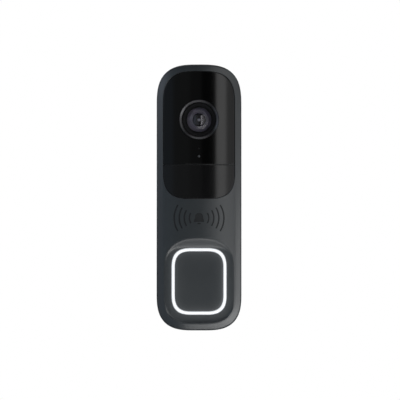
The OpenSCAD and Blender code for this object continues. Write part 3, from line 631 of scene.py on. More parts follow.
def barrel_finish(colours, x0, z0, radius):
    """Inside of the lens barrel: purple-grey coated steps inside the glass, flat black outside."""
    s = Shader("barrel_coated")
    r, ripple = s.radius(x0, z0) / radius, 40
    rings = (r * ripple).math("SINE") * 0.5 + 0.5
    inside = s.mix(rings, rgba(colours.coating, 0.9), rgba(colours.coating, 1.1))
    return s.surface(Base_Color=s.mix(r.band(0.985, 1.0), inside, (0.005, 0.005, 0.006, 1)),
                     Roughness=0.1 * rings + 0.38, Normal=s.bump(rings, 0.01 * MM))


def node_finishes(colours):
    """The material of each slot's CAD nodes, made by its function and named after the slot."""
    black = (0.012, 0.012, 0.013)
    rows = {
        "plate_black": (satin, (0.030, 0.033, 0.036), 0.48, 0.22 * MM, 0.01 * MM),
        "rear_graphite": (satin, (0.030, 0.034, 0.038), 0.5),
        "graphite_shell": (satin, colours.shell),
        "button_graphite": (satin, colours.button),
        "window_black": (polished, colours.window),
        "sensor_window": (polished, colours.sensor),
        "mark_ink": (satin, colours.mark, 0.6),
        "bezel_black": (metal, (0.05, 0.05, 0.055), 0.3),
        "baffle_black": (satin, black, 0.8),
        "barrel_black": (metal, (0.02, 0.02, 0.021), 0.45),
        "lens_glass": (clear, (0.9, 0.88, 0.95)),
        "filter_glass": (clear, (0.75, 0.35, 0.40), 0.02, 0.8),
        "sensor_die": (die,),
        "holder_black": (satin, (0.016, 0.016, 0.017), 0.6, 0.2 * MM),
        "board_green": (board, (0.012, 0.075, 0.035)),
        "chip_black": (satin, (0.018, 0.018, 0.019), 0.55, 0.08 * MM, 0.004 * MM),
        "emitter_dark": (polished, (0.04, 0.012, 0.02), 0.06, 0.6),
        "pipe_grey": (polished, (0.10, 0.105, 0.11), 0.25),
        "can_steel": (metal, (0.56, 0.57, 0.58), 0.32, (1, 1, 9)),
        "screw_steel": (metal, (0.50, 0.51, 0.53), 0.28, (3, 3, 3)),
        "seal_rubber": (foamed, (0.014, 0.014, 0.015), 0.12 * MM),
        "foam_black": (foamed, (0.02, 0.02, 0.021)),
        "ring_white": (polished, (0.8, 0.82, 0.84), 0.3),
        "led_white": (polished, (0.75, 0.68, 0.40), 0.2, 0.4),
        "plunger_amber": (polished, (0.42, 0.20, 0.04), 0.3),
        "connector_ivory": (satin, (0.66, 0.60, 0.46), 0.4, 0.1 * MM),
        "ribbon_amber": (striped, (0.42, 0.16, 0.02), (0.62, 0.34, 0.10)),
        "battery_wrap": (wrapped, (0.06, 0.13, 0.26)),
        "lead_red": (foamed, (0.34, 0.012, 0.01), 0.1 * MM),
        "speaker_black": (satin, (0.018, 0.018, 0.019), 0.5, 0.25 * MM, 0.012 * MM),
        "mesh_grey": (woven, (0.20, 0.20, 0.21)),
        "gold": (metal, (0.80, 0.56, 0.20), 0.22, (1, 1, 6)),
        "brass": (metal, (0.62, 0.42, 0.16), 0.3, (1, 1, 6)),
        "terminal_green": (satin, (0.012, 0.085, 0.045), 0.42, 0.2 * MM),
        "pin_black": (satin, black, 0.4),
        "pin_red": (satin, (0.28, 0.014, 0.012), 0.4),
    }
    return {slot: finish(slot, *values) for slot, (finish, *values) in rows.items()}


# ---------------------------------------------------------------- the object's plans

class Plans:
    """Outlines and levels that several pieces share, from the frame and the sizes."""

    RISE = (-3 * MM, 60 * MM)       # heights between which the dish's slope is looked for
    HALVINGS = 26

    def __init__(self, sizes):
        self.sizes = s = sizes
        low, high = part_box("front_housing")
        self.half, self.low, self.high = high.x, low.z, high.z
        self.crown, self.split = -low.y, -high.y
        self.body = Soft(self.half, self.low, self.high, s.corner_bottom, s.corner_top, s.power)
        top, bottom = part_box("camera_window"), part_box("pir_lens")
        self.window_gap = self.half - s.window_rim - top[1].x
        self.window_top, self.window_low = top[1].z + self.window_gap, bottom[0].z - self.window_gap
        self.seam = (bottom[1].z, top[0].z)
        glue = 0.1 * MM
        self.seat = self.crown - s.panel - glue
        self.window = Soft(self.half - s.window_rim, self.window_low, self.window_top,
                           s.window_corner, s.corner_top - s.window_rim, s.power)
        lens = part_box("lens_bezel")
        self.lens_x, self.lens_z = (lens[0].x + lens[1].x) / 2, (lens[0].z + lens[1].z) / 2
        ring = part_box("light_ring")
        self.ring_low, self.ring_high = ring[0].z + RING_FLANGE, ring[1].z - RING_FLANGE
        self.ring_half = ring[1].x - RING_FLANGE
        self.ring = Soft(self.ring_half, self.ring_low, self.ring_high, s.ring_corner,
                         s.ring_corner, s.power)
        self.floor = self.crown - s.dish_depth

    def sag(self, x):
        """How far the bulged front has fallen back at x: a circle across the front."""
        r = self.sizes.front_radius
        return r - np.sqrt(r * r - x * x)

    def back(self, x, z):
        """The sag as a shift of the distance out."""
        return -self.sag(x)

    def bulge(self, plan):
        """Distance out of the bulged front at plan points, with no bevel and no dish."""
        return self.crown - self.sag(plan[..., 0])

    def ceiling(self, x, z):
        """Distance out of the hollow's ceiling: a wall behind the dish's floor, and no nearer
        to the window's seat than the web behind it."""
        web = 1.5 * MM
        return np.minimum(self.floor - self.sizes.wall, self.seat - web - self.sag(x))

    def about_lens(self, box):
        """Radius about the lens axis, and distances out of the back and front, of a CAD box."""
        low, high = box
        return high.x - self.lens_x, -high.y, -low.y

    def dish_rise(self, x, z):
        """Height above the dish's floor of its sloping wall at (x, z), negative over the floor.

        The outline at height h grows by its own run on each side; h is found by halving.
        """
        s = self.sizes
        side, below, above, corner = s.dish_runs
        least, most = (np.full(x.shape, height) for height in self.RISE)
        for _ in range(self.HALVINGS):
            h = (least + most) / 2
            outline = Soft(self.ring_half + s.dish_side + side * h,
                           self.ring_low - s.dish_low - below * h,
                           self.ring_high + s.dish_high + above * h,
                           s.dish_corner_low + below * h, s.dish_corner_high + corner * h, s.power)
            inside = outline.depth(x, z) > 0
            least, most = np.where(inside, least, h), np.where(inside, h, most)
        return most

    def front(self, x, z):
        """Distance out of the front face at (x, z).

        It is the crown, less the sag, less a straight bevel that starts softly and ends in a
        quarter ellipse at the outline, and no more than the dish's floor plus its slope, with
        both joined softly.
        """
        s = self.sizes
        depth, soft_start = self.body.depth(x, z), 0.5 * MM
        within = s.bevel_width - depth
        bevel = s.bevel_slope * (within + np.sqrt(within ** 2 + soft_start ** 2)) / 2
        near = np.clip(1 - depth / s.bevel_round, 0, 1)
        lip = s.bevel_drop - s.bevel_slope * s.bevel_width
        face = self.crown - self.sag(x) - bevel - lip * (1 - np.sqrt(1 - near * near))
        rise = self.dish_rise(x, z)
        soft_foot, soft_lip = 0.35 * MM, 0.20 * MM
        slope = self.floor + (rise + np.sqrt(rise ** 2 + soft_foot ** 2)) / 2
        return (face + slope - np.sqrt((face - slope) ** 2 + soft_lip ** 2)) / 2


def plans():
    """The shared outlines for the scene's present sizes."""
    return Plans(bpy.context.scene.doorbell_sizes)


def mark_shapes(grow=0.0):
    """Plan grids (rows, columns, 2) of the bell, its clapper and the waves on both sides.

    Each grid has a ruled side: the bell runs from its mouth up to its crown between two
    profiles, straight and then a quarter circle, the clapper is half a disc, and a wave is a
    ring sector of radius and angle.
    """
    low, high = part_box("bell_mark")
    middle = (low.z + high.z) / 2
    below, straight = 2.0 * MM, 2.7 * MM
    mouth, shoulder = 2.7 * MM + grow, 2.0 * MM + grow
    t = np.linspace(0, 1, 25)[:, None]
    across = np.linspace(-1, 1, 13)[None, :]
    height = t * (straight + shoulder) - below - grow * (1 - t)
    above = np.clip((height + below - straight) / shoulder, 0, 1)
    wide = np.where(height + below < straight,
                    mouth + (shoulder - mouth) * (height + below) / straight,
                    shoulder * np.sqrt(1 - above ** 2))
    shapes = [np.stack([wide * across, middle + height + 0 * across], -1)]

    def sector(side, centre, radius, angle):
        """Ring sector about a centre on the mark's axis."""
        return np.stack([side * radius * np.cos(angle), centre + radius * np.sin(angle)], -1)

    clapper, drop = 0.95 * MM, 2.3 * MM
    angle = np.radians(np.linspace(195, 345, 17))[:, None]
    shapes.append(sector(1, middle - drop, np.linspace(0.0, clapper + grow, 5)[None, :], angle))
    waves, first, pitch, half_line, half_angle = 4, 5.0 * MM, 2.6 * MM, 0.35 * MM, 0.555
    angle = half_angle * np.linspace(-1, 1, 25)[:, None]
    line = (half_line + grow) * np.linspace(-1, 1, 3)[None, :]
    shapes += [sector(side, middle, first + pitch * i + line, angle)
               for side in (1, -1) for i in range(waves)]
    return shapes


# ---------------------------------------------------------------- operators

class Maker(bpy.types.Operator):
    """Base of the operators: runs make() and says that it is done."""
    bl_options = {"REGISTER", "UNDO"}

    def execute(self, context):
        scene = context.scene
        self.make(plans(), scene.doorbell_colours, scene.doorbell_light)
        return {"FINISHED"}


class DOORBELL_OT_front_shell(Maker):
    """Front shell with its bevel, dish, window seat, ring opening and sound slots"""
    bl_idname = "doorbell.front_shell"
    bl_label = "Front shell"

    def make(self, p, colours, light):
        """Loops of the body's outline, moved in step by step over the rounding and the bevel, each
        point lifted to the front's level there; the hollow inside is loops under its ceiling."""
        s = p.sizes
        dense = dict(rows=200, columns=90, corner=22)
        chamfer, past_bevel = 0.18 * MM, 0.7 * MM
        last = s.bevel_width + past_bevel
        insets = [s.bevel_round * (1 - np.cos(a)) for a in np.linspace(0, pi / 2, 9)[1:]]
        insets += list(np.linspace(s.bevel_round, last, 12)[1:])
        side = rings(p.body, [(chamfer, p.split), (0, p.split + chamfer)], **dense)
        lifted = rings(p.body, [(inset, 0.0) for inset in (0, *insets)], p.front, **dense)
        face = patch(p.body, last, 0.0, p.front, **dense)
        foot = rings(p.body, [(chamfer, p.split), (s.wall, p.split)], **dense)
        inside = rings(p.body, [(s.wall, 0.0)], p.ceiling, **dense)
        shell = build("front_shell", np.concatenate([side, lifted]), face,
                      np.concatenate([foot, inside]), patch(p.body, s.wall, 0.0, p.ceiling, **dense))
        carve(shell, *self.window_cutters(p), *self.ring_cutters(p), *self.mark_cutters(p),
              *self.slot_cutters(p))
        # the shell gets a painted glow: emission beside the ring opening that stands in for the ring's
        # light
        material = satin("shell_graphite", colours.shell, 0.31, specular=1.0, index=1.53,
                         lit=(p.ring, 0.0, 1.5 * MM), strength=light.spill)
        settle(shell, "doorbell", "graphite_shell", material, "front_housing")

    def window_cutters(self, p):
        """The window's seat, loops of its outline with a fine chamfer at the rim, and the round
        hole for the lens behind it."""
        chamfer, proud, gap = 0.15 * MM, 3 * MM, 0.05 * MM
        dense = dict(rows=60, columns=40)
        walls = [rings(p.window, [(inset, out)], p.front, **dense)
                 for inset, out in ((0, -chamfer), (-chamfer, 0), (-chamfer, proud))]
        seat = build("seat_cutter",
                     np.concatenate([rings(p.window, [(0, p.seat)], p.back, **dense), *walls]),
                     patch(p.window, 0, p.seat, p.back, **dense),
                     patch(p.window, -chamfer, proud, p.front, **dense))
        radius, _, _ = p.about_lens(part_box("lens_bezel"))
        return seat, rod("lens_cutter", p.lens_x, p.lens_z, radius + gap, p.split, p.crown, 128)

    def ring_cutters(self, p):
        """The opening for the light ring and the button: a slab of the ring's outline."""
        gap = 0.06 * MM
        grid = p.ring.grid(-gap, rows=40, columns=30)
        return [build("ring_cutter", *slab(grid, p.split, p.crown))]

    def mark_cutters(self, p):
        """The mark's shallow sinking: slabs of its shapes, grown by a gap, from its floor out."""
        gap = 0.03 * MM
        return [build(f"mark_cutter_{i}", *slab(g, p.bulge(g) - MARK_FLOOR, p.crown))
                for i, g in enumerate(mark_shapes(gap))]

    def slot_cutters(self, p):
        """Sound slots through the bottom wall: straight slots with half-round ends, in a row."""
        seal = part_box("speaker_seal")
        middle = -(seal[0].y + seal[1].y) / 2
        half, radius, pitch, each_side = 3.0 * MM, 0.6 * MM, 2.4 * MM, 3
        under, over = p.low - 1 * MM, p.low + 4 * MM
        outline = closed(np.concatenate([arc((0, half - radius), radius, 0, 180, 12),
                                         arc((0, radius - half), radius, 180, 360, 12)]))
        cutters = []
        for i in range(-each_side, each_side + 1):
            loops = [np.stack([i * pitch + outline[:, 0] * size, -(middle + outline[:, 1] * size),
                               np.full(len(outline), height)], -1)
                     for size, height in ((0, under), (1, under), (1, over), (0, over))]
            cutters.append(build(f"slot_cutter_{i}", np.stack(loops)))
        return cutters


class DOORBELL_OT_window_panels(Maker):
    """Gloss black window over the camera, and the panel over the motion sensor below it"""
    bl_idname = "doorbell.window_panels"
    bl_label = "Window panels"

    def make(self, p, colours, light):
        """Two sheets that share the window's outline and meet at a straight seam; the camera's is
        pierced for the lens, the microphone and the light sensor."""
        half, gap, seam_corner = p.window.half - p.window_gap, p.window_gap, 0.45 * MM
        upper = Soft(half, p.seam[1], p.window_top - gap, seam_corner, p.window.corner_high - gap,
                     p.sizes.power)
        lower = Soft(half, p.window_low + gap, p.seam[0], p.window.corner_low - gap, seam_corner,
                     p.sizes.power)
        camera = self.panel("camera_panel", p, upper)
        bezel, _, _ = p.about_lens(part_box("lens_bezel"))
        sound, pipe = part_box("microphone_boot"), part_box("light_pipe")
        bezel_gap, sound_hole, pipe_gap = 0.08 * MM, 0.5 * MM, 0.06 * MM
        holes = [(p.lens_z, bezel + bezel_gap), ((sound[0].z + sound[1].z) / 2, sound_hole),
                 ((pipe[0].z + pipe[1].z) / 2, pipe[1].x + pipe_gap)]
        beyond = 2 * MM
        carve(camera, *[rod("hole_cutter", p.lens_x, z, radius, p.seat - beyond, p.crown + beyond, 96)
                        for z, radius in holes])
        settle(camera, "doorbell", "window_black", polished("window_gloss", colours.window),
               "camera_window")
        settle(self.panel("sensor_panel", p, lower), "doorbell", "sensor_window",
               polished("sensor_gloss", colours.sensor, 0.13), "pir_lens")

    def panel(self, name, p, soft):
        """A sheet of the outline, bent like the front: loops up its side and over a quarter-round
        polished edge, then a flat fill."""
        edge, dense = p.sizes.window_edge, dict(rows=60, columns=72, corner=18)
        back = p.crown - p.sizes.panel
        profile = [(0, back), *quarter_round(0, edge, p.crown, 5)]
        return build(name, rings(soft, profile, p.back, **dense),
                     patch(soft, 0, back, p.back, **dense), patch(soft, edge, p.crown, p.back, **dense))


class DOORBELL_OT_camera_rings(Maker):
    """Rounded bezel and stepped baffle round the lens"""
    bl_idname = "doorbell.camera_rings"
    bl_label = "Camera rings"

    def make(self, p, colours, light):
        """Both are profiles turned about the lens axis."""
        self.bezel(p)
        self.baffle(p)

    def bezel(self, p):
        """A turned profile: straight sides, a rounded lip outside and a cone that falls inwards."""
        outer, foot, front = p.about_lens(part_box("lens_bezel"))
        inner, lip, cone, hollow = p.sizes.lens_radius + 2.3 * MM, 0.14 * MM, 0.95 * MM, 0.15 * MM
        profile = np.concatenate([
            [[inner, foot], [outer, foot]],
            arc((outer - lip, front - lip), lip, 0, 130, 9),
            arc((outer - lip - cone, front - cone), hollow, 130, 175, 4)])
        bezel = build("camera_bezel", turned(closed(profile), p.lens_x, p.lens_z, 160))
        settle(bezel, "doorbell", "bezel_black", bezel_finish(p.lens_x, p.lens_z, outer), "lens_bezel")

    def baffle(self, p):
        """A turned stair: even steps that climb from the lens out to the bezel."""
        outer, foot, front = p.about_lens(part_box("lens_baffle"))
        inner, ledge, steps = p.sizes.lens_radius + 0.2 * MM, foot + 1.2 * MM, 5
        seat, top = inner + 0.5 * MM, outer - 0.3 * MM
        k = np.arange(steps + 1) / steps
        stair = staircase(inner + (top - inner) * k, ledge + (front - ledge) * k)
        profile = np.concatenate([[[seat, foot], [outer, foot], [outer, front], [top, front]],
                                  stair[::-1], [[inner, ledge], [seat, ledge]]])
        baffle = build("camera_baffle", turned(closed(profile), p.lens_x, p.lens_z, 128))
        settle(baffle, "doorbell", "baffle_black",
               satin("baffle_flat", (0.006, 0.006, 0.007), 0.7, specular=0.3), "lens_baffle")


class DOORBELL_OT_lens_glass(Maker):
    """Front lens, the stepped barrel and the coated core behind it"""
    bl_idname = "doorbell.lens_glass"
    bl_label = "Lens glass"

    def make(self, p, colours, light):
        """The barrel's funnel runs from the ledge under the front lens in to the core's pupil."""
        radius, _, _ = p.about_lens(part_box("front_lens"))
        _, _, front = p.about_lens(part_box("lens_barrel"))
        gap, recess, funnel, pupil = 0.05 * MM, 1.45 * MM, 1.5 * MM, 3.0 * MM
        ledge = front - recess
        floor = ledge - funnel
        self.dome(p)
        self.barrel(p, colours, radius + gap, pupil, ledge, floor)
        self.core(p, pupil, floor)

    def dome(self, p):
        """A turned lens: its face bulges as (1 - t^2)^0.9 and its back is hollowed as 1 - t^2,
        where t is the share of the radius."""
        radius, foot, apex = p.about_lens(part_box("front_lens"))
        bulge, hollow, rim = 2.4 * MM, 0.9 * MM, 0.96
        t = np.linspace(0, 1, 25)
        face = np.stack([radius * t, apex - bulge + bulge * (1 - t ** 2) ** 0.9], -1)
        back = np.stack([radius * t * rim, foot + hollow * (1 - t ** 2)], -1)[::-1]
        profile = np.concatenate([face, [[radius, foot]], back])
        glass = build("lens_dome", turned(profile, p.lens_x, p.lens_z))
        settle(glass, "doorbell", "lens_glass", clear("dome_glass", (0.93, 0.92, 0.97)), "front_lens")

    def barrel(self, p, colours, bore, pupil, ledge, floor):
        """A turned tube with a narrow neck behind, and inside it a stair down to the pupil."""
        outer, foot, front = p.about_lens(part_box("lens_barrel"))
        neck, neck_front = 5.8 * MM, foot + 2.4 * MM
        k = np.linspace(0, 1, 9)
        profile = np.concatenate([[[pupil, foot], [neck, foot], [neck, neck_front],
                                   [outer, neck_front], [outer, front], [bore, front]],
                                  staircase(bore + (pupil - bore) * k, ledge + (floor - ledge) * k),
                                  [[pupil, floor]]])
        barrel = build("lens_barrel_inside", turned(closed(profile), p.lens_x, p.lens_z))
        settle(barrel, "doorbell", "barrel_black",
               barrel_finish(colours, p.lens_x, p.lens_z, bore), "lens_barrel")

    def core(self, p, pupil, floor):
        """A turned plug in the pupil whose face is a parabola."""
        _, foot, _ = p.about_lens(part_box("inner_lens"))
        reach, apex, bulge = pupil - 0.02 * MM, floor + 0.2 * MM, 0.9 * MM
        core = build("lens_core", turned(peg(reach, foot, apex, bulge, 25), p.lens_x, p.lens_z))
        settle(core, "doorbell", "lens_glass",
               coated_core("core_coating", p.lens_x, p.lens_z, reach), "inner_lens")


class DOORBELL_OT_sensor_dot(Maker):
    """Smoked light sensor window under the lens"""
    bl_idname = "doorbell.sensor_dot"
    bl_label = "Sensor dot"

    def make(self, p, colours, light):
        """A turned peg whose face is a parabola."""
        low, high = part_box("light_pipe")
        radius, x, z = (high.x - low.x) / 2, (high.x + low.x) / 2, (high.z + low.z) / 2
        pipe = build("sensor_dot", turned(peg(radius, -high.y, -low.y, 0.25 * MM, 9), x, z, 48))
        settle(pipe, "doorbell", "pipe_grey", polished("dot_smoke", (0.085, 0.09, 0.095), 0.2),
               "light_pipe")


class DOORBELL_OT_bell_mark(Maker):
    """Generic bell with sound waves, inked in its shallow sinking"""
    bl_idname = "doorbell.bell_mark"
    bl_label = "Bell mark"

    def make(self, p, colours, light):
        """Slabs of the mark's shapes between the sinking's floor and the ink's level."""
        grids = [g for shape in mark_shapes()
                 for g in slab(shape, p.bulge(shape) - MARK_FLOOR, p.bulge(shape) - MARK_INK)]
        mark = build("bell_mark_ink", *grids)
        settle(mark, "doorbell", "mark_ink", satin("mark_matte", colours.mark, 0.6), "bell_mark")


class DOORBELL_OT_light_ring(Maker):
    """Lit ring round the call button, slightly crowned"""
    bl_idname = "doorbell.light_ring"
    bl_label = "Light ring"

    def make(self, p, colours, light):
        """Loops of the ring's outline: a flange behind the shell, and a half ellipse for its face."""
        foot, band = -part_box("light_ring")[1].y, p.sizes.ring_band
        crown, sunk, gap = 0.40 * MM, 0.28 * MM, 0.05 * MM
        face = [(band * (1 - np.cos(a)) / 2, p.floor - sunk + crown * np.sin(a))
                for a in np.linspace(0, pi, 17)]
        step = p.floor - p.sizes.wall - gap
        profile = [(band, foot), (-RING_FLANGE, foot), (-RING_FLANGE, step), (0, step), *face,
                   (band, foot)]
        ring = build("lit_ring", rings(p.ring, profile, rows=60, columns=40, corner=18))
        settle(ring, "doorbell", "ring_white",
               glowing("ring_glow", colours.glow, light.ring, p.ring, band), "light_ring")


class DOORBELL_OT_call_button(Maker):
    """Call button with a rounded edge and a face that dips slightly"""
    bl_idname = "doorbell.call_button"
    bl_label = "Call button"

    def make(self, p, colours, light):
        """Loops of the ring's outline, moved in: a skirt with a flange behind the ring, a
        quarter-round edge, and a face that dips; a round post under it meets the switch."""
        s = p.sizes
        inset, edge = s.ring_band + s.button_gap, s.button_edge
        dense = dict(rows=48, columns=48, corner=18)
        ring_back, gap, thick, flange = 1.6 * MM, 0.05 * MM, 1.05 * MM, 0.9 * MM
        skirt_top = p.floor - s.wall - ring_back - gap
        skirt_foot = skirt_top - thick
        roof, inner = p.floor - 1.7 * MM, inset + 1.4 * MM
        profile = [(inner, roof), (inner, skirt_foot), (inset - flange, skirt_foot),
                   (inset - flange, skirt_top), (inset, skirt_top),
                   *quarter_round(inset, edge, p.floor, 7)]
        slope = 8 * MM

        def hollow(x, z):
            """The face dips by a smooth bowl: full in the middle, none at the edge."""
            reach = np.clip((p.ring.depth(x, z) - inset - edge) / slope, 0, 1)
            return -s.button_hollow * reach * reach * (3 - 2 * reach)

        cap = build("call_button", rings(p.ring, profile, **dense),
                    patch(p.ring, inner, roof, **dense),
                    patch(p.ring, inset + edge, p.floor, hollow, **dense))
        settle(cap, "button", "button_graphite",
               # the button gets a painted glow: emission round its edge that stands in for the ring's
               # light
               satin("button_satin", colours.button, 0.36, specular=0.9,
                     lit=(p.ring, inset, 1.8 * MM), strength=light.spill), "button_cap")
        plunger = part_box("switch_plunger")
        centre, foot, radius = (plunger[0] + plunger[1]) / 2, -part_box("button_cap")[1].y, 2.6 * MM
        post = rod("button_post", centre.x, centre.z, radius, foot, roof, 48)
        settle(post, "button", "button_graphite", satin("post_satin", colours.button, 0.45), "button_cap")


class DOORBELL_OT_button_pad(Maker):
    """Silicone bellows under the call button"""
    bl_idname = "doorbell.button_pad"
    bl_label = "Button pad"

    def make(self, p, colours, light):
        """Loops of the ring's outline on both sides of a wall that waves in and out with height."""
        low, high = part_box("button_pad")
        foot, top = -high.y, -low.y
        outer, wide, folds, fold = p.ring_half - high.x, 1.4 * MM, 2, 0.16 * MM
        t = np.linspace(0, 1, 25)
        wave, out = fold * (1 - np.cos(2 * pi * folds * t)) / 2, foot + (top - foot) * t
        outside = list(zip(outer + wave, out))
        inside = list(zip(outer + wide - wave, out))[::-1]
        pad = build("button_bellows", rings(p.ring, [*outside, *inside, outside[0]],
                                            rows=40, columns=40, corner=16))
        settle(pad, "doorbell", "seal_rubber",
               foamed("bellows_silicone", (0.05, 0.05, 0.052), 0.1 * MM), "button_pad")
        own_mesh(pad)


def smooth_tree():
    """Geometry nodes that weld a CAD mesh, drop its flat normals and shade it by angle."""
    tree = bpy.data.node_groups.new("shade_by_angle", "GeometryNodeTree")
    tree.interface.new_socket("Geometry", in_out="INPUT", socket_type="NodeSocketGeometry")
    tree.interface.new_socket("Geometry", in_out="OUTPUT", socket_type="NodeSocketGeometry")
    add, link = tree.nodes.new, tree.links.new
    start, end = add("NodeGroupInput"), add("NodeGroupOutput")
    drop = add("GeometryNodeRemoveAttribute")
    drop.inputs["Name"].default_value = "custom_normal"
    weld = add("GeometryNodeMergeByDistance")
    weld.inputs["Distance"].default_value = WELD
    faces, edges = add("GeometryNodeSetShadeSmooth"), add("GeometryNodeSetShadeSmooth")
    faces.domain, edges.domain = "FACE", "EDGE"
    faces.inputs["Shade Smooth"].default_value = True
    edges.inputs["Shade Smooth"].default_value = False
    angle, over = add("GeometryNodeInputMeshEdgeAngle"), add("FunctionNodeCompare")
    over.inputs["B"].default_value = SHARP
    link(start.outputs[0], drop.inputs["Geometry"])
    link(drop.outputs[0], weld.inputs["Geometry"])
    link(weld.outputs[0], faces.inputs["Geometry"])
    link(faces.outputs[0], edges.inputs["Geometry"])
    link(angle.outputs["Unsigned Angle"], over.inputs["A"])
    link(over.outputs[0], edges.inputs["Selection"])
    link(edges.outputs[0], end.inputs[0])
    return tree


class DOORBELL_OT_frame_finishes(Maker):
    """Finishes and smooth shading of every CAD node, inside and out"""
    bl_idname = "doorbell.frame_finishes"
    bl_label = "Frame finishes"

    def make(self, p, colours, light):
        """Each node gets its slot's finish, and a modifier that leaves its mesh as it is."""
        finishes = node_finishes(colours)
        tree = smooth_tree()
        for part in frame["record"]["subparts"]:
            node = frame["nodes"][part["node"]]
            node.data.materials.clear()
            node.data.materials.append(finishes[part["material_slot"]])
            node.modifiers.new("shade_by_angle", "NODES").node_group = tree


# Tall panels round the front: from and to which azimuth in degrees, radiance, colour
PANELS = (
    ("strip", 13.1, 21.0, 1.45, (1.0, 1.0, 1.0)),
    ("right", 21.0, 47.0, 0.54, (1.0, 1.0, 1.0)),
    ("right_side", 47.0, 88.0, 0.42, (1.0, 1.0, 1.0)),
    ("middle", -7.0, 2.0, 0.07, (0.97, 1.0, 1.0)),
    ("near_left", -20.0, -7.0, 0.12, (0.94, 1.0, 1.0)),
    ("left", -48.0, -20.0, 0.21, (0.80, 0.95, 1.12)),
    ("left_side", -88.0, -48.0, 0.30, (0.88, 0.96, 1.10)),
)

PANEL_DISTANCE, PANEL_HEIGHT = 1.4, 1.8

# Places on the doorbell that softboxes serve, in metres
MIDDLE = (0.0, 0.0, 0.0)
RIGHT_LIP = (0.016, -0.026, -0.062)
LOWER_LIP = (0.003, -0.027, -0.066)
RIGHT_CHEEK = (0.021, -0.024, -0.047)
LEFT_BEVEL = (-0.020, -0.025, 0.052)

# Softboxes: place they serve, azimuth, elevation and distance from it, width, height (metres),
# radiance, colour
SOFTBOXES = (
    ("low_right", RIGHT_LIP, 41, -19, 0.20, 0.11, 0.09, 2.2, (1.0, 1.0, 1.0)),
    ("low_front", LOWER_LIP, 6, -27, 0.20, 0.14, 0.07, 1.75, (1.0, 1.0, 1.0)),
    ("low_side", RIGHT_CHEEK, 66, -6, 0.26, 0.15, 0.14, 1.2, (1.0, 1.0, 1.0)),
    ("high_left", LEFT_BEVEL, -58, 14, 0.28, 0.17, 0.13, 0.50, (0.86, 0.96, 1.12)),
    ("under", MIDDLE, 15, -68, 0.5, 0.50, 0.26, 0.35, (1.0, 1.0, 1.03)),
    ("over", MIDDLE, 0, 68, 0.6, 0.50, 0.30, 0.6, (1.0, 1.0, 1.03)),
    ("key", MIDDLE, 38, 33, 1.2, 0.42, 0.55, 0.35, (1.0, 1.0, 1.0)),
    ("back_right", MIDDLE, 150, 25, 1.2, 0.9, 0.9, 3.2, (1.0, 1.0, 1.0)),
    ("back_left", MIDDLE, -150, 20, 1.2, 0.9, 0.9, 2.4, (0.95, 0.98, 1.04)),
)


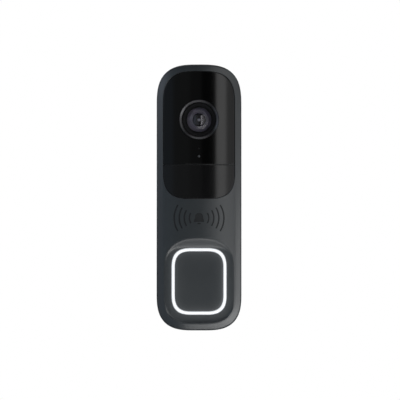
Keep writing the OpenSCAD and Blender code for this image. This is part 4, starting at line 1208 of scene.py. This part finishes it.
class DOORBELL_OT_stage(Maker):
    """Pale floor, soft studio lights, white room and the camera straight in front"""
    bl_idname = "doorbell.stage"
    bl_label = "Stage"

    def make(self, p, colours, light):
        """A tall panel is as wide as the angle that it fills at its distance."""
        self.floor()
        self.room(light.sky)
        for name, start, end, radiance, tint in PANELS:
            wide = 2 * PANEL_DISTANCE * np.tan(radians(end - start) / 2)
            self.softbox(name, light.panels * radiance, tint, (wide, PANEL_HEIGHT), MIDDLE,
                         (start + end) / 2, 0, PANEL_DISTANCE)
        for name, served, azimuth, elevation, distance, wide, high, radiance, tint in SOFTBOXES:
            self.softbox(name, light.soft * radiance, tint, (wide, high), served, azimuth,
                         elevation, distance)
        self.camera()

    def floor(self):
        """A wide white floor, as far under the doorbell as at a door, that only the camera sees."""
        reach, height = 12.0, -1.2
        corners = np.array([[[-reach, -reach, height], [reach, -reach, height]],
                            [[-reach, reach, height], [reach, reach, height]]])
        floor = build("floor", corners)
        s = Shader("pale_floor")
        floor.data.materials.append(s.surface(Base_Color=(0, 0, 0, 1), Roughness=1.0,
                                              Specular_IOR_Level=0.0, Emission_Color=(1, 1, 1, 1),
                                              Emission_Strength=1.0))
        floor.visible_diffuse = floor.visible_glossy = floor.visible_transmission = False
        floor.visible_shadow = False

    def room(self, brightness):
        """A white room to the camera that lights the object only softly."""
        world = bpy.data.worlds.new("room")
        world.use_nodes = True
        tree = world.node_tree
        tree.nodes.clear()
        seen, lit = (tree.nodes.new("ShaderNodeBackground") for _ in range(2))
        seen.inputs["Color"].default_value = (1, 1, 1, 1)
        lit.inputs["Color"].default_value = (0.90, 0.96, 1.0, 1)
        lit.inputs["Strength"].default_value = brightness
        path, mix = tree.nodes.new("ShaderNodeLightPath"), tree.nodes.new("ShaderNodeMixShader")
        tree.links.new(path.outputs["Is Camera Ray"], mix.inputs[0])
        tree.links.new(lit.outputs[0], mix.inputs[1])
        tree.links.new(seen.outputs[0], mix.inputs[2])
        tree.links.new(mix.outputs[0], tree.nodes.new("ShaderNodeOutputWorld").inputs[0])
        bpy.context.scene.world = world

    def softbox(self, name, radiance, tint, size, served, azimuth, elevation, distance):
        """A rectangular light that far from the place it serves, aimed at it.

        Azimuth is degrees to the right of straight in front, elevation degrees above it.
        """
        a, e = radians(azimuth), radians(elevation)
        way = np.array([np.sin(a) * np.cos(e), -np.cos(a) * np.cos(e), np.sin(e)])
        data = bpy.data.lights.new(name, "AREA")
        data.shape, data.size, data.size_y = "RECTANGLE", *size
        data.energy, data.color = radiance * pi * size[0] * size[1], tint
        lamp = bpy.data.objects.new(name, data)
        lamp.location = np.array(served) + way * distance
        lamp.rotation_euler = (pi / 2 - e, 0, a)
        lamp.visible_camera = False
        bpy.context.scene.collection.objects.link(lamp)

    def camera(self):
        """A long lens straight in front, level with the doorbell's middle."""
        data = bpy.data.cameras.new("camera")
        data.lens, data.sensor_width = 200.0, 36.0
        view_width, across, front, up = 207.4 * MM, 0.5 * MM, 20 * MM, -1.3 * MM
        away = view_width * data.lens / data.sensor_width
        camera = bpy.data.objects.new("camera", data)
        camera.location = (across, -front - away, up)
        camera.rotation_euler = (pi / 2, 0, 0)
        bpy.context.scene.collection.objects.link(camera)
        bpy.context.scene.camera = camera
        bpy.context.scene.view_settings.view_transform = "Standard"


PIECES = (DOORBELL_OT_frame_finishes, DOORBELL_OT_front_shell, DOORBELL_OT_window_panels,
          DOORBELL_OT_camera_rings, DOORBELL_OT_lens_glass, DOORBELL_OT_sensor_dot,
          DOORBELL_OT_bell_mark, DOORBELL_OT_light_ring, DOORBELL_OT_call_button,
          DOORBELL_OT_button_pad, DOORBELL_OT_stage)


class DOORBELL_PT_panel(bpy.types.Panel):
    """Sidebar panel with the settings and a button for each piece"""
    bl_idname = "DOORBELL_PT_panel"
    bl_label = "Doorbell"
    bl_space_type = "VIEW_3D"
    bl_region_type = "UI"
    bl_category = "Doorbell"

    def draw(self, context):
        scene = context.scene
        for group in (scene.doorbell_sizes, scene.doorbell_colours, scene.doorbell_light):
            for key in group.__annotations__:
                self.layout.prop(group, key)
        for piece in PIECES:
            self.layout.operator(piece.bl_idname)


GROUPS = {"doorbell_sizes": DoorbellSizes, "doorbell_colours": DoorbellColours,
          "doorbell_light": DoorbellLight}


def register():
    """Adds the settings, the operators and the panel."""
    for name, group in GROUPS.items():
        bpy.utils.register_class(group)
        setattr(bpy.types.Scene, name, bpy.props.PointerProperty(type=group))
    for cls in (*PIECES, DOORBELL_PT_panel):
        bpy.utils.register_class(cls)


def unregister():
    """Removes them again."""
    for cls in (DOORBELL_PT_panel, *reversed(PIECES)):
        bpy.utils.unregister_class(cls)
    for name, group in GROUPS.items():
        delattr(bpy.types.Scene, name)
        bpy.utils.unregister_class(group)


def main():
    register()
    for piece in PIECES:
        family, name = piece.bl_idname.split(".")
        getattr(getattr(bpy.ops, family), name)()


if __name__ == "__main__":
    main()
